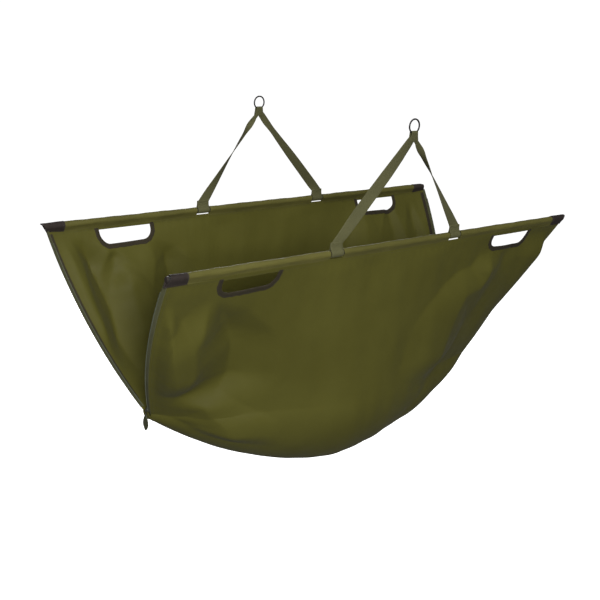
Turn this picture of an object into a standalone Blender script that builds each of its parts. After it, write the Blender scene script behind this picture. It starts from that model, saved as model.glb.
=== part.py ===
"""Weigh sling for fish: a cloth pouch hung between two bars.

The origin is the hang point, midway between the two rings' inner tops, with +X along the
bars, +Y towards the rear bar and +Z up.  Both long sides hinge about one straight line
through the feet of the two end zips, and the pouch's bottom is half a spindle turned about
that same line.  Only the front half is modelled: each rear piece is its front twin turned
half a turn about the Z axis, so front left matches rear right.
"""
import math

import bmesh
import bpy
from mathutils import Matrix, Vector

# Driving sizes, in metres
BAR_LENGTH = 1.196
BAR_RADIUS = 0.006
BAR_WALL = 0.0012
BAR_SPACING = 0.489
HANG_HEIGHT = 0.2695
HINGE_DEPTH = 0.375
KEEL_DEPTH = 0.210
ZIP_RAKE = 0.1125
ZIP_BOW = 0.021
CLOTH = 0.002
FIT_GAP = 0.0003
LAP_GAP = 0.0008
CUT_OVERRUN = 0.02
FOLD_DEPTH = 0.009

# Sleeves round the bars, with the strap notches between them
SLEEVE_WALL = 0.0014
SEAM_DROP = 0.015
SEAM_HALF_WIDTH = 0.0014
NOTCH_INNER_X = 0.158
NOTCH_OUTER_X = 0.214
PATCH_LENGTH = 0.049
PATCH_OVERHANG = 0.008
PATCH_MOUTH_SLANT = 0.35
PLUG_HEAD = 0.003
PLUG_SHANK_LENGTH = 0.016

# Hand holes, measured in the upright plane
HOLE_LENGTH = 0.135
HOLE_END_DISTANCE = 0.128
HOLE_TOP_DROP = 0.0195
HOLE_BOTTOM_DROP = 0.051
HOLE_CORNER = 0.024
BINDING_WIDTH = 0.008
BINDING_THICKNESS = 0.003

# End zips: chain, tape, slider and pull
TAPE_WIDTH = 0.012
TAPE_THICKNESS = 0.001
CHAIN_WIDTH = 0.0028
CHAIN_THICKNESS = 0.0024
CHAIN_SETBACK = 0.0009
CHAIN_TOP = 0.405
CHAIN_FOOT_GAP = 0.0006
SLIDER_REST = 0.0075
SLIDER_LENGTH = 0.0125
SLIDER_WIDTH = 0.0105
SLIDER_PLATE = 0.001
SLIDER_POST = 0.0012
SLIDER_LIP = 0.00115
SLIDER_CLEARANCE = 0.0003
BRIDGE_LENGTH = 0.0084
BRIDGE_HEIGHT = 0.0045
BRIDGE_BAND = 0.0011
BRIDGE_WIDTH = 0.0016
BRIDGE_ROOT = 0.0004
LINK_WIRE = 0.0006
LINK_WIDTH = 0.0084
LINK_LENGTH = 0.0115
LINK_FOOT_RADIUS = 0.001
LEAF_LENGTH = 0.035
LEAF_WIDTH = 0.017
LEAF_THICKNESS = 0.0022
LEAF_HEAD_WIDTH = 0.0062
LEAF_GRIP = 0.0034

# Bridles: webbing legs, sewn tab and ring
WEBBING = 0.002
LOOP_X = 0.184
LOOP_WIDTH = 0.0332
LOOP_SHOULDER = 0.0125
BRIDLE_HINGE_RISE = 0.0255
APEX_RISE = 0.2165
TAB_FOOT_RISE = 0.2297
APEX_SHIFT_X = 0.0216
TAB_WIDTH = 0.025
TAB_WALL = 0.0009
TONGUE_WIDTH = 0.016
RING_RADIUS = 0.015
RING_WIRE = 0.0015
RING_CENTRE_RISE = 0.256
RING_SEAT = 0.001
RING_SWING_ROOM = 0.0003

# Shares and counts that shape the forms
SPINDLE_POWER_SHARE = 1.8
SWELL_SHARE = 0.32
SWELL_END_SHARE = 4
CORNER_TURN_SHARE = 12
FOLD_SWELL_SHARE = 1.5
FOOT_ROUND_SHARE = 0.4
LAP_ANGLE = math.radians(3.0)
LEG_GATHER_SHARE = 0.15
LEG_FLAT_SHARE = 0.07
PANEL_COLUMNS = 36
PANEL_ROWS = 10
BASE_COLUMNS = 28
BASE_STEPS = 14
ARC_STEPS = 14
ROUND_STEPS = 24
TWIST_STEPS = 22

# Main folds at each end of a side, by their shares of its half length and height:
# head along, head height, foot along, foot height, width, depth
FOLD_SHARES = (
    (0.76, 0.90, 0.70, 0.06, 0.055, 1.0),
    (0.79, 0.90, 0.83, 0.08, 0.050, -0.85),
    (0.63, 0.88, 0.48, 0.06, 0.070, -0.45),
)

# Sizes that follow from the driving ones
ZIP_TOP_X = BAR_LENGTH / 2
ZIP_FOOT_X = ZIP_TOP_X - ZIP_RAKE
PATCH_END_X = ZIP_TOP_X + PATCH_OVERHANG
PATCH_START_X = PATCH_END_X - PATCH_LENGTH
HOLE_OUTER_X = ZIP_TOP_X - HOLE_END_DISTANCE
HOLE_INNER_X = HOLE_OUTER_X - HOLE_LENGTH
BAR_Y = -BAR_SPACING / 2
BAR_Z = -HANG_HEIGHT
HINGE_Z = BAR_Z - HINGE_DEPTH
PANEL_TOP_DROP = SEAM_DROP + FIT_GAP
PANEL_HEIGHT = HINGE_DEPTH - PANEL_TOP_DROP
SLEEVE_BORE = BAR_RADIUS + FIT_GAP
SLEEVE_RADIUS = SLEEVE_BORE + SLEEVE_WALL
LOOP_RADIUS = SLEEVE_BORE + WEBBING
BAR_REACH = math.hypot(BAR_Y, HINGE_DEPTH)
BAR_ANGLE = math.atan2(-BAR_Y, HINGE_DEPTH)
MEET_ANGLE = math.asin((LOOP_RADIUS + FIT_GAP) / BAR_REACH)
ZIP_ANGLE = BAR_ANGLE - MEET_ANGLE
TIP_RADIUS = TAPE_WIDTH / math.cos(ZIP_ANGLE)
CORNER_Y = PANEL_HEIGHT * math.tan(ZIP_ANGLE) + TIP_RADIUS
BASE_END_X = ZIP_FOOT_X - SLIDER_WIDTH / 4
RING_HINGE_RISE = RING_CENTRE_RISE - RING_RADIUS + RING_SEAT
LEG_FOOT_RISE = BRIDLE_HINGE_RISE - WEBBING / 2
CHAIN_FOOT = TIP_RADIUS + CHAIN_FOOT_GAP
PARKED_CHAIN_FOOT = SLIDER_REST - SLIDER_LENGTH / 4
PARKED_TAPE_FOOT = TAPE_WIDTH * math.tan(ZIP_ANGLE) + FIT_GAP

COLOURS = {
    "cloth": ((0.078, 0.072, 0.018, 1.0), 0.62, 0.0),
    "webbing": ((0.055, 0.056, 0.022, 1.0), 0.75, 0.0),
    "binding": ((0.034, 0.028, 0.018, 1.0), 0.70, 0.0),
    "patch": ((0.030, 0.024, 0.020, 1.0), 0.55, 0.0),
    "tube": ((0.018, 0.017, 0.016, 1.0), 0.40, 0.3),
    "chain": ((0.075, 0.078, 0.052, 1.0), 0.50, 0.0),
    "steel": ((0.045, 0.045, 0.042, 1.0), 0.35, 0.9),
    "pull": ((0.060, 0.064, 0.030, 1.0), 0.55, 0.0),
}


def clear_scene():
    """Remove every object of the open scene."""
    for old in list(bpy.data.objects):
        bpy.data.objects.remove(old, do_unlink=True)


def new_collection(name):
    """Make a collection below the scene's own."""
    made = bpy.data.collections.new(name)
    bpy.context.scene.collection.children.link(made)
    return made


def new_material(name):
    """Make a Principled material from the table of colours."""
    colour, roughness, metallic = COLOURS[name]
    made = bpy.data.materials.new(name)
    made.use_nodes = True
    shader = made.node_tree.nodes["Principled BSDF"]
    shader.inputs["Base Color"].default_value = colour
    shader.inputs["Roughness"].default_value = roughness
    shader.inputs["Metallic"].default_value = metallic
    made.diffuse_color = colour
    return made


clear_scene()
PARTS = new_collection("weigh_sling")
CUTTERS = new_collection("cutters")
MATERIALS = {name: new_material(name) for name in COLOURS}

# Frames: the upright plane across the bars, and the plane of a zip
ACROSS = Matrix(((0, 0, 1, 0), (1, 0, 0, BAR_Y), (0, 1, 0, BAR_Z), (0, 0, 0, 1)))
ZIP_PLANE = Matrix.Translation((0, 0, HINGE_Z)) @ Matrix.Rotation(math.pi / 2 + ZIP_ANGLE, 4, "X")


def add_part(name, mesh, material, smooth_angle=None):
    """Put a mesh into the scene as one named part."""
    made = bpy.data.objects.new(name, mesh)
    mesh.materials.clear()
    mesh.materials.append(MATERIALS[material])
    if smooth_angle is not None:
        mesh.shade_smooth()
        mesh.set_sharp_from_angle(angle=smooth_angle)
    PARTS.objects.link(made)
    return made


def add_twin(front, name):
    """Add the rear twin of a front part, turned half a turn about Z."""
    made = front.copy()
    made.name = name
    made.matrix_world = Matrix.Rotation(math.pi, 4, "Z") @ front.matrix_world
    PARTS.objects.link(made)
    return made


def prism_mesh(name, outlines, depth, frame):
    """Fill flat outlines, holes included, and give them a depth about their plane."""
    curve = bpy.data.curves.new(name, "CURVE")
    curve.dimensions = "2D"
    curve.fill_mode = "BOTH"
    curve.extrude = depth / 2
    for outline in outlines:
        spline = curve.splines.new("POLY")
        spline.points.add(len(outline) - 1)
        for point, (across, up) in zip(spline.points, outline):
            point.co = (across, up, 0, 1)
        spline.use_cyclic_u = True
    holder = bpy.data.objects.new(name, curve)
    bpy.context.scene.collection.objects.link(holder)
    graph = bpy.context.evaluated_depsgraph_get()
    mesh = bpy.data.meshes.new_from_object(holder.evaluated_get(graph))
    bpy.data.objects.remove(holder, do_unlink=True)
    bpy.data.curves.remove(curve)
    work = bmesh.new()
    work.from_mesh(mesh)
    bmesh.ops.remove_doubles(work, verts=work.verts, dist=FIT_GAP / 30)
    bmesh.ops.recalc_face_normals(work, faces=work.faces)
    bmesh.ops.transform(work, matrix=frame, verts=work.verts)
    work.to_mesh(mesh)
    work.free()
    mesh.name = name
    return mesh


def ribbon_mesh(name, sections, closed=False):
    """Loft four-cornered sections into one closed strip."""
    work = bmesh.new()
    rings = [[work.verts.new(corner) for corner in section] for section in sections]
    count = len(rings)
    for index in range(count if closed else count - 1):
        here, there = rings[index], rings[(index + 1) % count]
        for side in range(4):
            after = (side + 1) % 4
            work.faces.new((here[side], here[after], there[after], there[side]))
    if not closed:
        work.faces.new(rings[0])
        work.faces.new(rings[-1])
    bmesh.ops.recalc_face_normals(work, faces=work.faces)
    mesh = bpy.data.meshes.new(name)
    work.to_mesh(mesh)
    work.free()
    return mesh


def add_cutter(name, mesh):
    """Add a hidden cutting body."""
    made = bpy.data.objects.new(name, mesh)
    made.hide_render = True
    made.display_type = "WIRE"
    CUTTERS.objects.link(made)
    return made


def cut(target, cutter, operation="DIFFERENCE"):
    """Give the target a Boolean with the cutter."""
    change = target.modifiers.new(cutter.name, "BOOLEAN")
    change.operation = operation
    change.object = cutter
    return change


def box_mesh(name, low, high):
    """A box between two corners."""
    work = bmesh.new()
    middle = (Vector(low) + Vector(high)) / 2
    size = Vector(high) - Vector(low)
    frame = Matrix.Translation(middle) @ Matrix.Diagonal((*size, 1))
    bmesh.ops.create_cube(work, size=1, matrix=frame)
    mesh = bpy.data.meshes.new(name)
    work.to_mesh(mesh)
    work.free()
    return mesh


def arc_points(centre, radius, start, end, steps):
    """Points along an arc, angles in radians from the first axis."""
    across, up = centre
    angles = [start + (end - start) * step / steps for step in range(steps + 1)]
    return [(across + radius * math.cos(angle), up + radius * math.sin(angle)) for angle in angles]


def circle_points(centre, radius, steps=ROUND_STEPS):
    """Points round a full circle."""
    return arc_points(centre, radius, 0, 2 * math.pi, steps)[:-1]


class ZipArc:
    """The bowed line of an end zip, drawn in the plane of the zip as (x, reach)."""

    def __init__(self):
        foot = Vector((ZIP_FOOT_X, 0))
        head = Vector((ZIP_TOP_X, BAR_REACH))
        chord = head - foot
        self.radius = chord.length ** 2 / (8 * ZIP_BOW) + ZIP_BOW / 2
        outward = Vector((chord.y, -chord.x)).normalized()
        self.centre = (foot + head) / 2 - outward * (self.radius - ZIP_BOW)

    def x_at(self, reach):
        """Distance of the zip from the middle at a reach from the hinge line."""
        rise = reach - self.centre.y
        return self.centre.x + math.sqrt(self.radius ** 2 - rise ** 2)

    def angle_at(self, reach):
        """Angle of that point about the arc's centre."""
        return math.asin((reach - self.centre.y) / self.radius)

    def band(self, low, high, thickness):
        """Closed outline of a strip that follows the zip."""
        start, end = self.angle_at(low), self.angle_at(high)
        outer = arc_points(self.centre, self.radius + thickness / 2, start, end, ARC_STEPS)
        inner = arc_points(self.centre, self.radius - thickness / 2, start, end, ARC_STEPS)
        return outer + inner[::-1]


ZIP_ARC = ZipArc()


def spindle_radius(x):
    """Radius of the pouch's bottom about the hinge line."""
    share = min(1.0, abs(x) / ZIP_FOOT_X)
    return TIP_RADIUS + (KEEL_DEPTH - TIP_RADIUS) * (1 - share ** SPINDLE_POWER_SHARE)


def end_reach(height_share):
    """Reach along the zip of a side panel's end edge at a share of its height."""
    edge_y = TIP_RADIUS + (CORNER_Y - TIP_RADIUS) * height_share
    return PANEL_HEIGHT * height_share * math.cos(ZIP_ANGLE) + edge_y * math.sin(ZIP_ANGLE)


def panel_half_length(height_share):
    """Half length of a side panel at a share of its height."""
    return ZIP_ARC.x_at(end_reach(height_share))


def fold_depth(along, height_share):
    """How far the main folds draw the cloth inward at a place along and up a side."""
    depth = 0
    for head, head_height, foot, foot_height, width, strength in FOLD_SHARES:
        rise = (height_share - foot_height) / (head_height - foot_height)
        if 0 < rise < 1:
            line = foot + (head - foot) * rise
            swell = math.sin(math.pi * rise) ** FOLD_SWELL_SHARE
            depth += FOLD_DEPTH * strength * swell * math.exp(-(((along - line) / width) ** 2))
    return depth


def panel_y(x, height_share):
    """Depth of the front panel's inner face at a place along and up it."""
    along = min(1.0, abs(x) / panel_half_length(height_share))
    foot = spindle_radius(along * panel_half_length(0)) + LAP_GAP
    top = -BAR_Y + (CORNER_Y + BAR_Y) * along ** CORNER_TURN_SHARE
    power = 1 + SWELL_SHARE * (1 - along ** SWELL_END_SHARE)
    return fold_depth(along, height_share) - (foot + (top - foot) * height_share ** power)


def make_panel(name):
    """Front side panel: a bowed sheet with a lap below the hinge line and two hand holes."""
    work = bmesh.new()
    bmesh.ops.create_grid(work, x_segments=PANEL_COLUMNS, y_segments=PANEL_ROWS + 1, size=1)
    for vertex in work.verts:
        row = (vertex.co.y + 1) / 2 * (PANEL_ROWS + 1)
        share = max(0.0, (row - 1) / PANEL_ROWS)
        x = vertex.co.x * panel_half_length(share)
        y, z = panel_y(x, share), PANEL_HEIGHT * share
        if row < 0.5:
            y, z = y * math.cos(LAP_ANGLE), y * math.sin(LAP_ANGLE)
        vertex.co = (x, y, HINGE_Z + z)
    mesh = bpy.data.meshes.new(name)
    work.to_mesh(mesh)
    work.free()
    panel = add_part(name, mesh, "cloth", math.radians(40))
    shell = panel.modifiers.new("cloth", "SOLIDIFY")
    shell.thickness = CLOTH
    shell.offset = 1
    return panel


def hole_outline(side, grow, top_drop):
    """D-shaped outline in x and height, straight along its top."""
    inner, outer = HOLE_INNER_X - grow, HOLE_OUTER_X + grow
    bottom = BAR_Z - HOLE_BOTTOM_DROP - grow
    radius = HOLE_CORNER + grow
    corner_steps = ROUND_STEPS // 4
    right = arc_points((outer - radius, bottom + radius), radius, 0, -math.pi / 2, corner_steps)
    left = arc_points((inner + radius, bottom + radius), radius, -math.pi / 2, -math.pi, corner_steps)
    top = BAR_Z - top_drop
    points = [(outer, top)] + right + left + [(inner, top)]
    return [(side * x, z) for x, z in points]


def panel_face_y(x, z):
    """Depth of the front panel's mid face at a place in the upright plane."""
    share = min(1.0, (z - HINGE_Z) / PANEL_HEIGHT)
    return panel_y(x, share) - CLOTH / 2


def make_hole_binding(name, side):
    """Bound edge that fills the ring between the hand hole and the cloth."""
    inner = hole_outline(side, 0, HOLE_TOP_DROP)
    outer = hole_outline(side, BINDING_WIDTH, PANEL_TOP_DROP)
    sections = []
    for (inner_x, inner_z), (outer_x, outer_z) in zip(inner, outer):
        inner_y, outer_y = panel_face_y(inner_x, inner_z), panel_face_y(outer_x, outer_z)
        half = BINDING_THICKNESS / 2
        sections.append((
            (inner_x, inner_y - half, inner_z), (outer_x, outer_y - half, outer_z),
            (outer_x, outer_y + half, outer_z), (inner_x, inner_y + half, inner_z),
        ))
    return add_part(name, ribbon_mesh(name, sections, closed=True), "binding", math.radians(40))


def hole_cutter(name, side):
    """Cutter that opens the panel for a hand hole and its binding."""
    outline = hole_outline(side, BINDING_WIDTH + FIT_GAP, PANEL_TOP_DROP - CUT_OVERRUN)
    frame = Matrix(((1, 0, 0, 0), (0, 0, -1, BAR_Y), (0, 1, 0, 0), (0, 0, 0, 1)))
    return add_cutter(name, prism_mesh(name, [outline], BAR_SPACING / 2, frame))


def sleeve_outline():
    """Hem round the bar: round above, drawn in to the seam below."""
    round_part = arc_points((0, 0), SLEEVE_RADIUS, math.radians(-35), math.radians(215), ROUND_STEPS)
    return round_part + [(-SEAM_HALF_WIDTH, -SEAM_DROP), (SEAM_HALF_WIDTH, -SEAM_DROP)]


def make_sleeve(name, low_x, high_x, material="cloth"):
    """One stretch of the hem that holds a bar."""
    frame = Matrix.Translation(((low_x + high_x) / 2, 0, 0)) @ ACROSS
    mesh = prism_mesh(name, [sleeve_outline(), circle_points((0, 0), SLEEVE_BORE)], high_x - low_x, frame)
    return add_part(name, mesh, material, math.radians(40))


def make_end_patch(name, side):
    """Dark patch round a sleeve's end, with its mouth cut at a slant."""
    low, high = sorted((side * (PATCH_START_X + FIT_GAP), side * PATCH_END_X))
    patch = make_sleeve(name, low, high, "patch")
    reach = SLEEVE_RADIUS + SEAM_DROP
    corner = Vector((side * PATCH_END_X, 0, BAR_Z - SEAM_DROP))
    block = box_mesh(name + "_mouth", (0, BAR_Y - reach, -reach), (reach, BAR_Y + reach, 2 * reach))
    tilt = Matrix.Rotation(-side * math.atan(PATCH_MOUTH_SLANT), 4, "Y")
    flip = Matrix.Diagonal((side, 1, 1, 1))
    block.transform(Matrix.Translation(corner) @ tilt @ flip)
    if side < 0:
        block.flip_normals()
    cut(patch, add_cutter(name + "_mouth", block))
    return patch


def make_bar(name):
    """Round tube, open at both ends."""
    outlines = [circle_points((0, 0), BAR_RADIUS), circle_points((0, 0), BAR_RADIUS - BAR_WALL)]
    return add_part(name, prism_mesh(name, outlines, BAR_LENGTH, ACROSS), "tube", math.radians(40))


def turned_mesh(name, profile, frame):
    """Turn a closed profile of (along, radius) about the first axis."""
    work = bmesh.new()
    points = [work.verts.new((along, radius, 0)) for along, radius in profile]
    edges = [work.edges.new(pair) for pair in zip(points, points[1:])]
    bmesh.ops.spin(
        work, geom=points + edges, cent=(0, 0, 0), axis=(1, 0, 0), angle=2 * math.pi, steps=ROUND_STEPS,
    )
    bmesh.ops.remove_doubles(work, verts=work.verts, dist=FIT_GAP / 30)
    bmesh.ops.recalc_face_normals(work, faces=work.faces)
    bmesh.ops.transform(work, matrix=frame, verts=work.verts)
    mesh = bpy.data.meshes.new(name)
    work.to_mesh(mesh)
    work.free()
    return mesh


def make_bar_plug(name, side):
    """Plug with a shank in the tube and a rounded head over its end."""
    shank = BAR_RADIUS - BAR_WALL - FIT_GAP
    chamfer = PLUG_HEAD / 4
    profile = [
        (-PLUG_SHANK_LENGTH, 0), (-PLUG_SHANK_LENGTH, shank - chamfer), (-PLUG_SHANK_LENGTH + chamfer, shank),
        (FIT_GAP, shank), (FIT_GAP, BAR_RADIUS), (PLUG_HEAD - chamfer, BAR_RADIUS),
        (PLUG_HEAD, BAR_RADIUS - chamfer), (PLUG_HEAD, 0),
    ]
    turn = Matrix.Rotation(0 if side > 0 else math.pi, 4, "Z")
    frame = Matrix.Translation((side * BAR_LENGTH / 2, BAR_Y, BAR_Z)) @ turn
    return add_part(name, turned_mesh(name, profile, frame), "patch", math.radians(40))


def make_zip_strip(name, side, foot, inner, outer, thickness, material):
    """Strip that follows an end zip, between two distances from the closing plane."""
    outline = [(side * x, reach) for x, reach in ZIP_ARC.band(foot, CHAIN_TOP, thickness)]
    frame = ZIP_PLANE @ Matrix.Translation((0, 0, (inner + outer) / 2))
    return add_part(name, prism_mesh(name, [outline], outer - inner, frame), material, math.radians(40))


def slider_frame(side):
    """Frame of the parked slider: across the zip, outward, and up along it."""
    angle = ZIP_ARC.angle_at(SLIDER_REST)
    place = Vector((side * ZIP_ARC.x_at(SLIDER_REST), SLIDER_REST, 0))
    outward = Vector((side * math.cos(angle), math.sin(angle), 0))
    along = Vector((-side * math.sin(angle), math.cos(angle), 0))
    across = outward.cross(along)
    columns = Matrix((across, outward, along)).transposed().to_4x4()
    return ZIP_PLANE @ Matrix.Translation(place) @ columns


def make_slider(name, side):
    """Zip slider: two plates on a post, lips that hold the chain, and a bridge for the pull."""
    post = SLIDER_POST / 2
    room = CHAIN_THICKNESS / 2 + SLIDER_CLEARANCE
    slot = TAPE_THICKNESS / 2 + SLIDER_CLEARANCE
    face = room + SLIDER_PLATE
    edge = SLIDER_WIDTH / 2
    lip = edge - SLIDER_LIP
    quarter = [(post, room), (lip, room), (lip, slot), (edge, slot), (edge, face)]
    half = quarter + [(-x, y) for x, y in quarter[::-1]]
    outline = half + [(x, -y) for x, y in half[::-1]]
    frame = slider_frame(side)
    slider = add_part(name, prism_mesh(name, [outline], SLIDER_LENGTH, frame), "steel", math.radians(30))
    plan_radius = SLIDER_WIDTH / 2
    waist = SLIDER_LENGTH / 2 - plan_radius
    plan = arc_points((0, waist), plan_radius, 0, math.pi, ROUND_STEPS // 2)
    plan += arc_points((0, -waist), plan_radius, math.pi, 2 * math.pi, ROUND_STEPS // 2)
    upright = Matrix(((1, 0, 0, 0), (0, 0, -1, 0), (0, 1, 0, 0), (0, 0, 0, 1)))
    rounded = prism_mesh(name + "_plan", [plan], SLIDER_LENGTH, frame @ upright)
    cut(slider, add_cutter(name + "_plan", rounded), "INTERSECT")
    foot = face - BRIDGE_ROOT
    span = BRIDGE_LENGTH / 2
    outer = [(span * c, foot + (BRIDGE_HEIGHT + BRIDGE_ROOT) * s)
             for c, s in arc_points((0, 0), 1, 0, math.pi, ROUND_STEPS // 2)]
    inner_span, inner_height = span - BRIDGE_BAND, BRIDGE_HEIGHT + BRIDGE_ROOT - BRIDGE_BAND
    inner = [(inner_span * c, foot + inner_height * s)
             for c, s in arc_points((0, 0), 1, 0, math.pi, ROUND_STEPS // 2)]
    lengthwise = Matrix(((0, 0, 1, 0), (0, 1, 0, 0), (-1, 0, 0, 0), (0, 0, 0, 1)))
    bridge = prism_mesh(name + "_bridge", [outer + inner[::-1]], BRIDGE_WIDTH, frame @ lengthwise)
    cut(slider, add_cutter(name + "_bridge", bridge), "UNION")
    return slider


def pull_pivot(side):
    """Point under the slider's bridge where the link hangs."""
    face = CHAIN_THICKNESS / 2 + SLIDER_CLEARANCE + SLIDER_PLATE
    height = face + BRIDGE_HEIGHT - BRIDGE_BAND - LINK_WIRE - SLIDER_CLEARANCE
    return slider_frame(side) @ Vector((0, height, 0))


def wire_loop_mesh(name, points, radius):
    """Closed loop of round wire through points."""
    curve = bpy.data.curves.new(name, "CURVE")
    curve.dimensions = "3D"
    curve.bevel_depth = radius
    curve.bevel_resolution = 2
    spline = curve.splines.new("POLY")
    spline.points.add(len(points) - 1)
    for point, place in zip(spline.points, points):
        point.co = (*place, 1)
    spline.use_cyclic_u = True
    holder = bpy.data.objects.new(name, curve)
    bpy.context.scene.collection.objects.link(holder)
    graph = bpy.context.evaluated_depsgraph_get()
    mesh = bpy.data.meshes.new_from_object(holder.evaluated_get(graph))
    bpy.data.objects.remove(holder, do_unlink=True)
    bpy.data.curves.remove(curve)
    return mesh


def link_points(side):
    """Triangle of the pull's link, wide under the bridge and narrow in the pull's head."""
    pivot = pull_pivot(side)
    half = LINK_WIDTH / 2 - LINK_WIRE
    foot = LINK_FOOT_RADIUS - LINK_LENGTH + 2 * LINK_WIRE
    flat = [(half, 0), (-half, 0)]
    flat += arc_points((0, foot), LINK_FOOT_RADIUS, math.pi, 2 * math.pi, ROUND_STEPS // 4)
    return [(pivot.x, pivot.y + across, pivot.z + up) for across, up in flat]


def make_pull_link(name, side):
    """Wire link that passes under the bridge and is moulded into the pull's head."""
    return add_part(name, wire_loop_mesh(name, link_points(side), LINK_WIRE), "steel", math.radians(60))


def make_pull(name, side):
    """Leaf-shaped pull moulded round the link's foot, hanging straight down."""
    pivot = pull_pivot(side)
    top = -LINK_LENGTH + LINK_WIRE + LEAF_GRIP
    shoulder_share, belly_share, chin_share = 0.22, 0.62, 0.9
    shoulder_width_share, chin_width_share = 0.56, 0.45
    half = [
        (LEAF_HEAD_WIDTH / 2, top),
        (LEAF_WIDTH / 2 * shoulder_width_share, top - LEAF_LENGTH * shoulder_share),
        (LEAF_WIDTH / 2, top - LEAF_LENGTH * belly_share),
        (LEAF_WIDTH / 2 * chin_width_share, top - LEAF_LENGTH * chin_share),
        (0, top - LEAF_LENGTH),
    ]
    smooth = smooth_line(half, ROUND_STEPS // 6)
    outline = smooth + [(-x, z) for x, z in smooth[-2::-1]]
    frame = Matrix.Translation(pivot) @ Matrix(((0, 0, 1, 0), (1, 0, 0, 0), (0, 1, 0, 0), (0, 0, 0, 1)))
    pull = add_part(name, prism_mesh(name, [outline], LEAF_THICKNESS, frame), "pull", math.radians(40))
    seat = wire_loop_mesh(name + "_seat", link_points(side), LINK_WIRE + FIT_GAP)
    cut(pull, add_cutter(name + "_seat", seat))
    return pull


def smooth_line(points, steps):
    """Smooth line through points, by a Catmull-Rom rule."""
    places = [Vector(point) for point in points]
    padded = [2 * places[0] - places[1]] + places + [2 * places[-1] - places[-2]]
    line = []
    for index in range(1, len(padded) - 2):
        before, start, end, after = padded[index - 1:index + 3]
        for step in range(steps):
            t = step / steps
            place = 0.5 * (
                2 * start + (end - before) * t + (2 * before - 5 * start + 4 * end - after) * t ** 2
                + (3 * start - before - 3 * end + after) * t ** 3
            )
            line.append((place.x, place.y))
    line.append((places[-1].x, places[-1].y))
    return line


def make_loop(name, side):
    """Webbing loop round the bar, doubled above it and rounded where the leg hinges."""
    nose_centre = LEG_FOOT_RISE - FIT_GAP - WEBBING
    body = arc_points((0, 0), LOOP_RADIUS, math.radians(130), math.radians(410), ROUND_STEPS)
    nose = arc_points((0, nose_centre), WEBBING, 0, math.pi, ROUND_STEPS // 3)
    outline = body + [(WEBBING, LOOP_SHOULDER)] + nose + [(-WEBBING, LOOP_SHOULDER)]
    frame = Matrix.Translation((side * LOOP_X, 0, 0)) @ ACROSS
    mesh = prism_mesh(name, [outline, circle_points((0, 0), SLEEVE_BORE)], LOOP_WIDTH, frame)
    return add_part(name, mesh, "webbing", math.radians(40))


def ease(share):
    """Smooth step from 0 to 1."""
    share = max(0.0, min(1.0, share))
    return share * share * (3 - 2 * share)


def leg_centres(side, lean):
    """Foot, apex and head of one leg's centre line, with half widths along the bar."""
    half = LOOP_WIDTH / 2
    foot = Vector((side * LOOP_X, BAR_Y, BAR_Z + LEG_FOOT_RISE))
    apex = Vector((APEX_SHIFT_X + side * half, BAR_Y + lean, BAR_Z + APEX_RISE))
    head = Vector((APEX_SHIFT_X, BAR_Y + lean, BAR_Z + TAB_FOOT_RISE))
    return foot, apex, head


def make_plain_leg(name, side, lean):
    """Flat leg of webbing, cut level at its foot and gathered at its head."""
    half = LOOP_WIDTH / 2
    widths = (half, half, TAB_WIDTH / 2 - FIT_GAP)
    sections = []
    for centre, width in zip(leg_centres(side, lean), widths):
        thick = Vector((0, WEBBING / 2, 0))
        across = Vector((width, 0, 0))
        sections.append((centre - across - thick, centre + across - thick,
                         centre + across + thick, centre - across + thick))
    return add_part(name, rounded_foot(ribbon_mesh(name, sections)), "webbing")


def rounded_foot(mesh):
    """Round a leg's foot about its hinge line by bevelling the two foot edges."""
    work = bmesh.new()
    work.from_mesh(mesh)
    foot = BAR_Z + LEG_FOOT_RISE
    low = [v for v in work.verts if abs(v.co.z - foot) < FIT_GAP / 3]
    edges = [e for e in work.edges if e.verts[0] in low and e.verts[1] in low]
    long_edges = [e for e in edges if abs(e.verts[0].co.y - e.verts[1].co.y) < FIT_GAP / 3]
    bmesh.ops.bevel(work, geom=long_edges, offset=WEBBING * FOOT_ROUND_SHARE, segments=2, profile=0.5,
                    affect="EDGES")
    work.to_mesh(mesh)
    work.free()
    return mesh


def make_twisted_leg(name, side, lean):
    """Leg of webbing with half a twist, level at its foot and its head."""
    foot, apex, head = leg_centres(side, lean)
    along = (apex - foot).normalized()
    across = Vector((along.z, 0, -along.x))
    half = LOOP_WIDTH / 2 * along.z
    shear = -along.x / along.z
    sections = []
    for step in range(TWIST_STEPS + 1):
        share = step / TWIST_STEPS
        turned = (share - LEG_FLAT_SHARE) / (1 - 2 * LEG_FLAT_SHARE)
        turn = -math.pi * max(0.0, min(1.0, turned))
        level = (1 - ease(share / LEG_GATHER_SHARE)) - ease((share - 1 + LEG_GATHER_SHARE) / LEG_GATHER_SHARE)
        wide = across * math.cos(turn) + Vector((0, 1, 0)) * math.sin(turn)
        thick = along.cross(wide).normalized() * (WEBBING / 2)
        reach = (wide - along * level * shear) * half
        centre = foot.lerp(apex, share)
        sections.append((centre - reach - thick, centre + reach - thick,
                         centre + reach + thick, centre - reach + thick))
    last = Vector((TAB_WIDTH / 2 - FIT_GAP, 0, 0))
    thick = Vector((0, WEBBING / 2, 0))
    order = 1 if sections[-1][0].x < sections[-1][1].x else -1
    sections.append((head - last * order - thick * order, head + last * order - thick * order,
                     head + last * order + thick * order, head - last * order + thick * order))
    return add_part(name, rounded_foot(ribbon_mesh(name, sections)), "webbing", math.radians(40))


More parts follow.
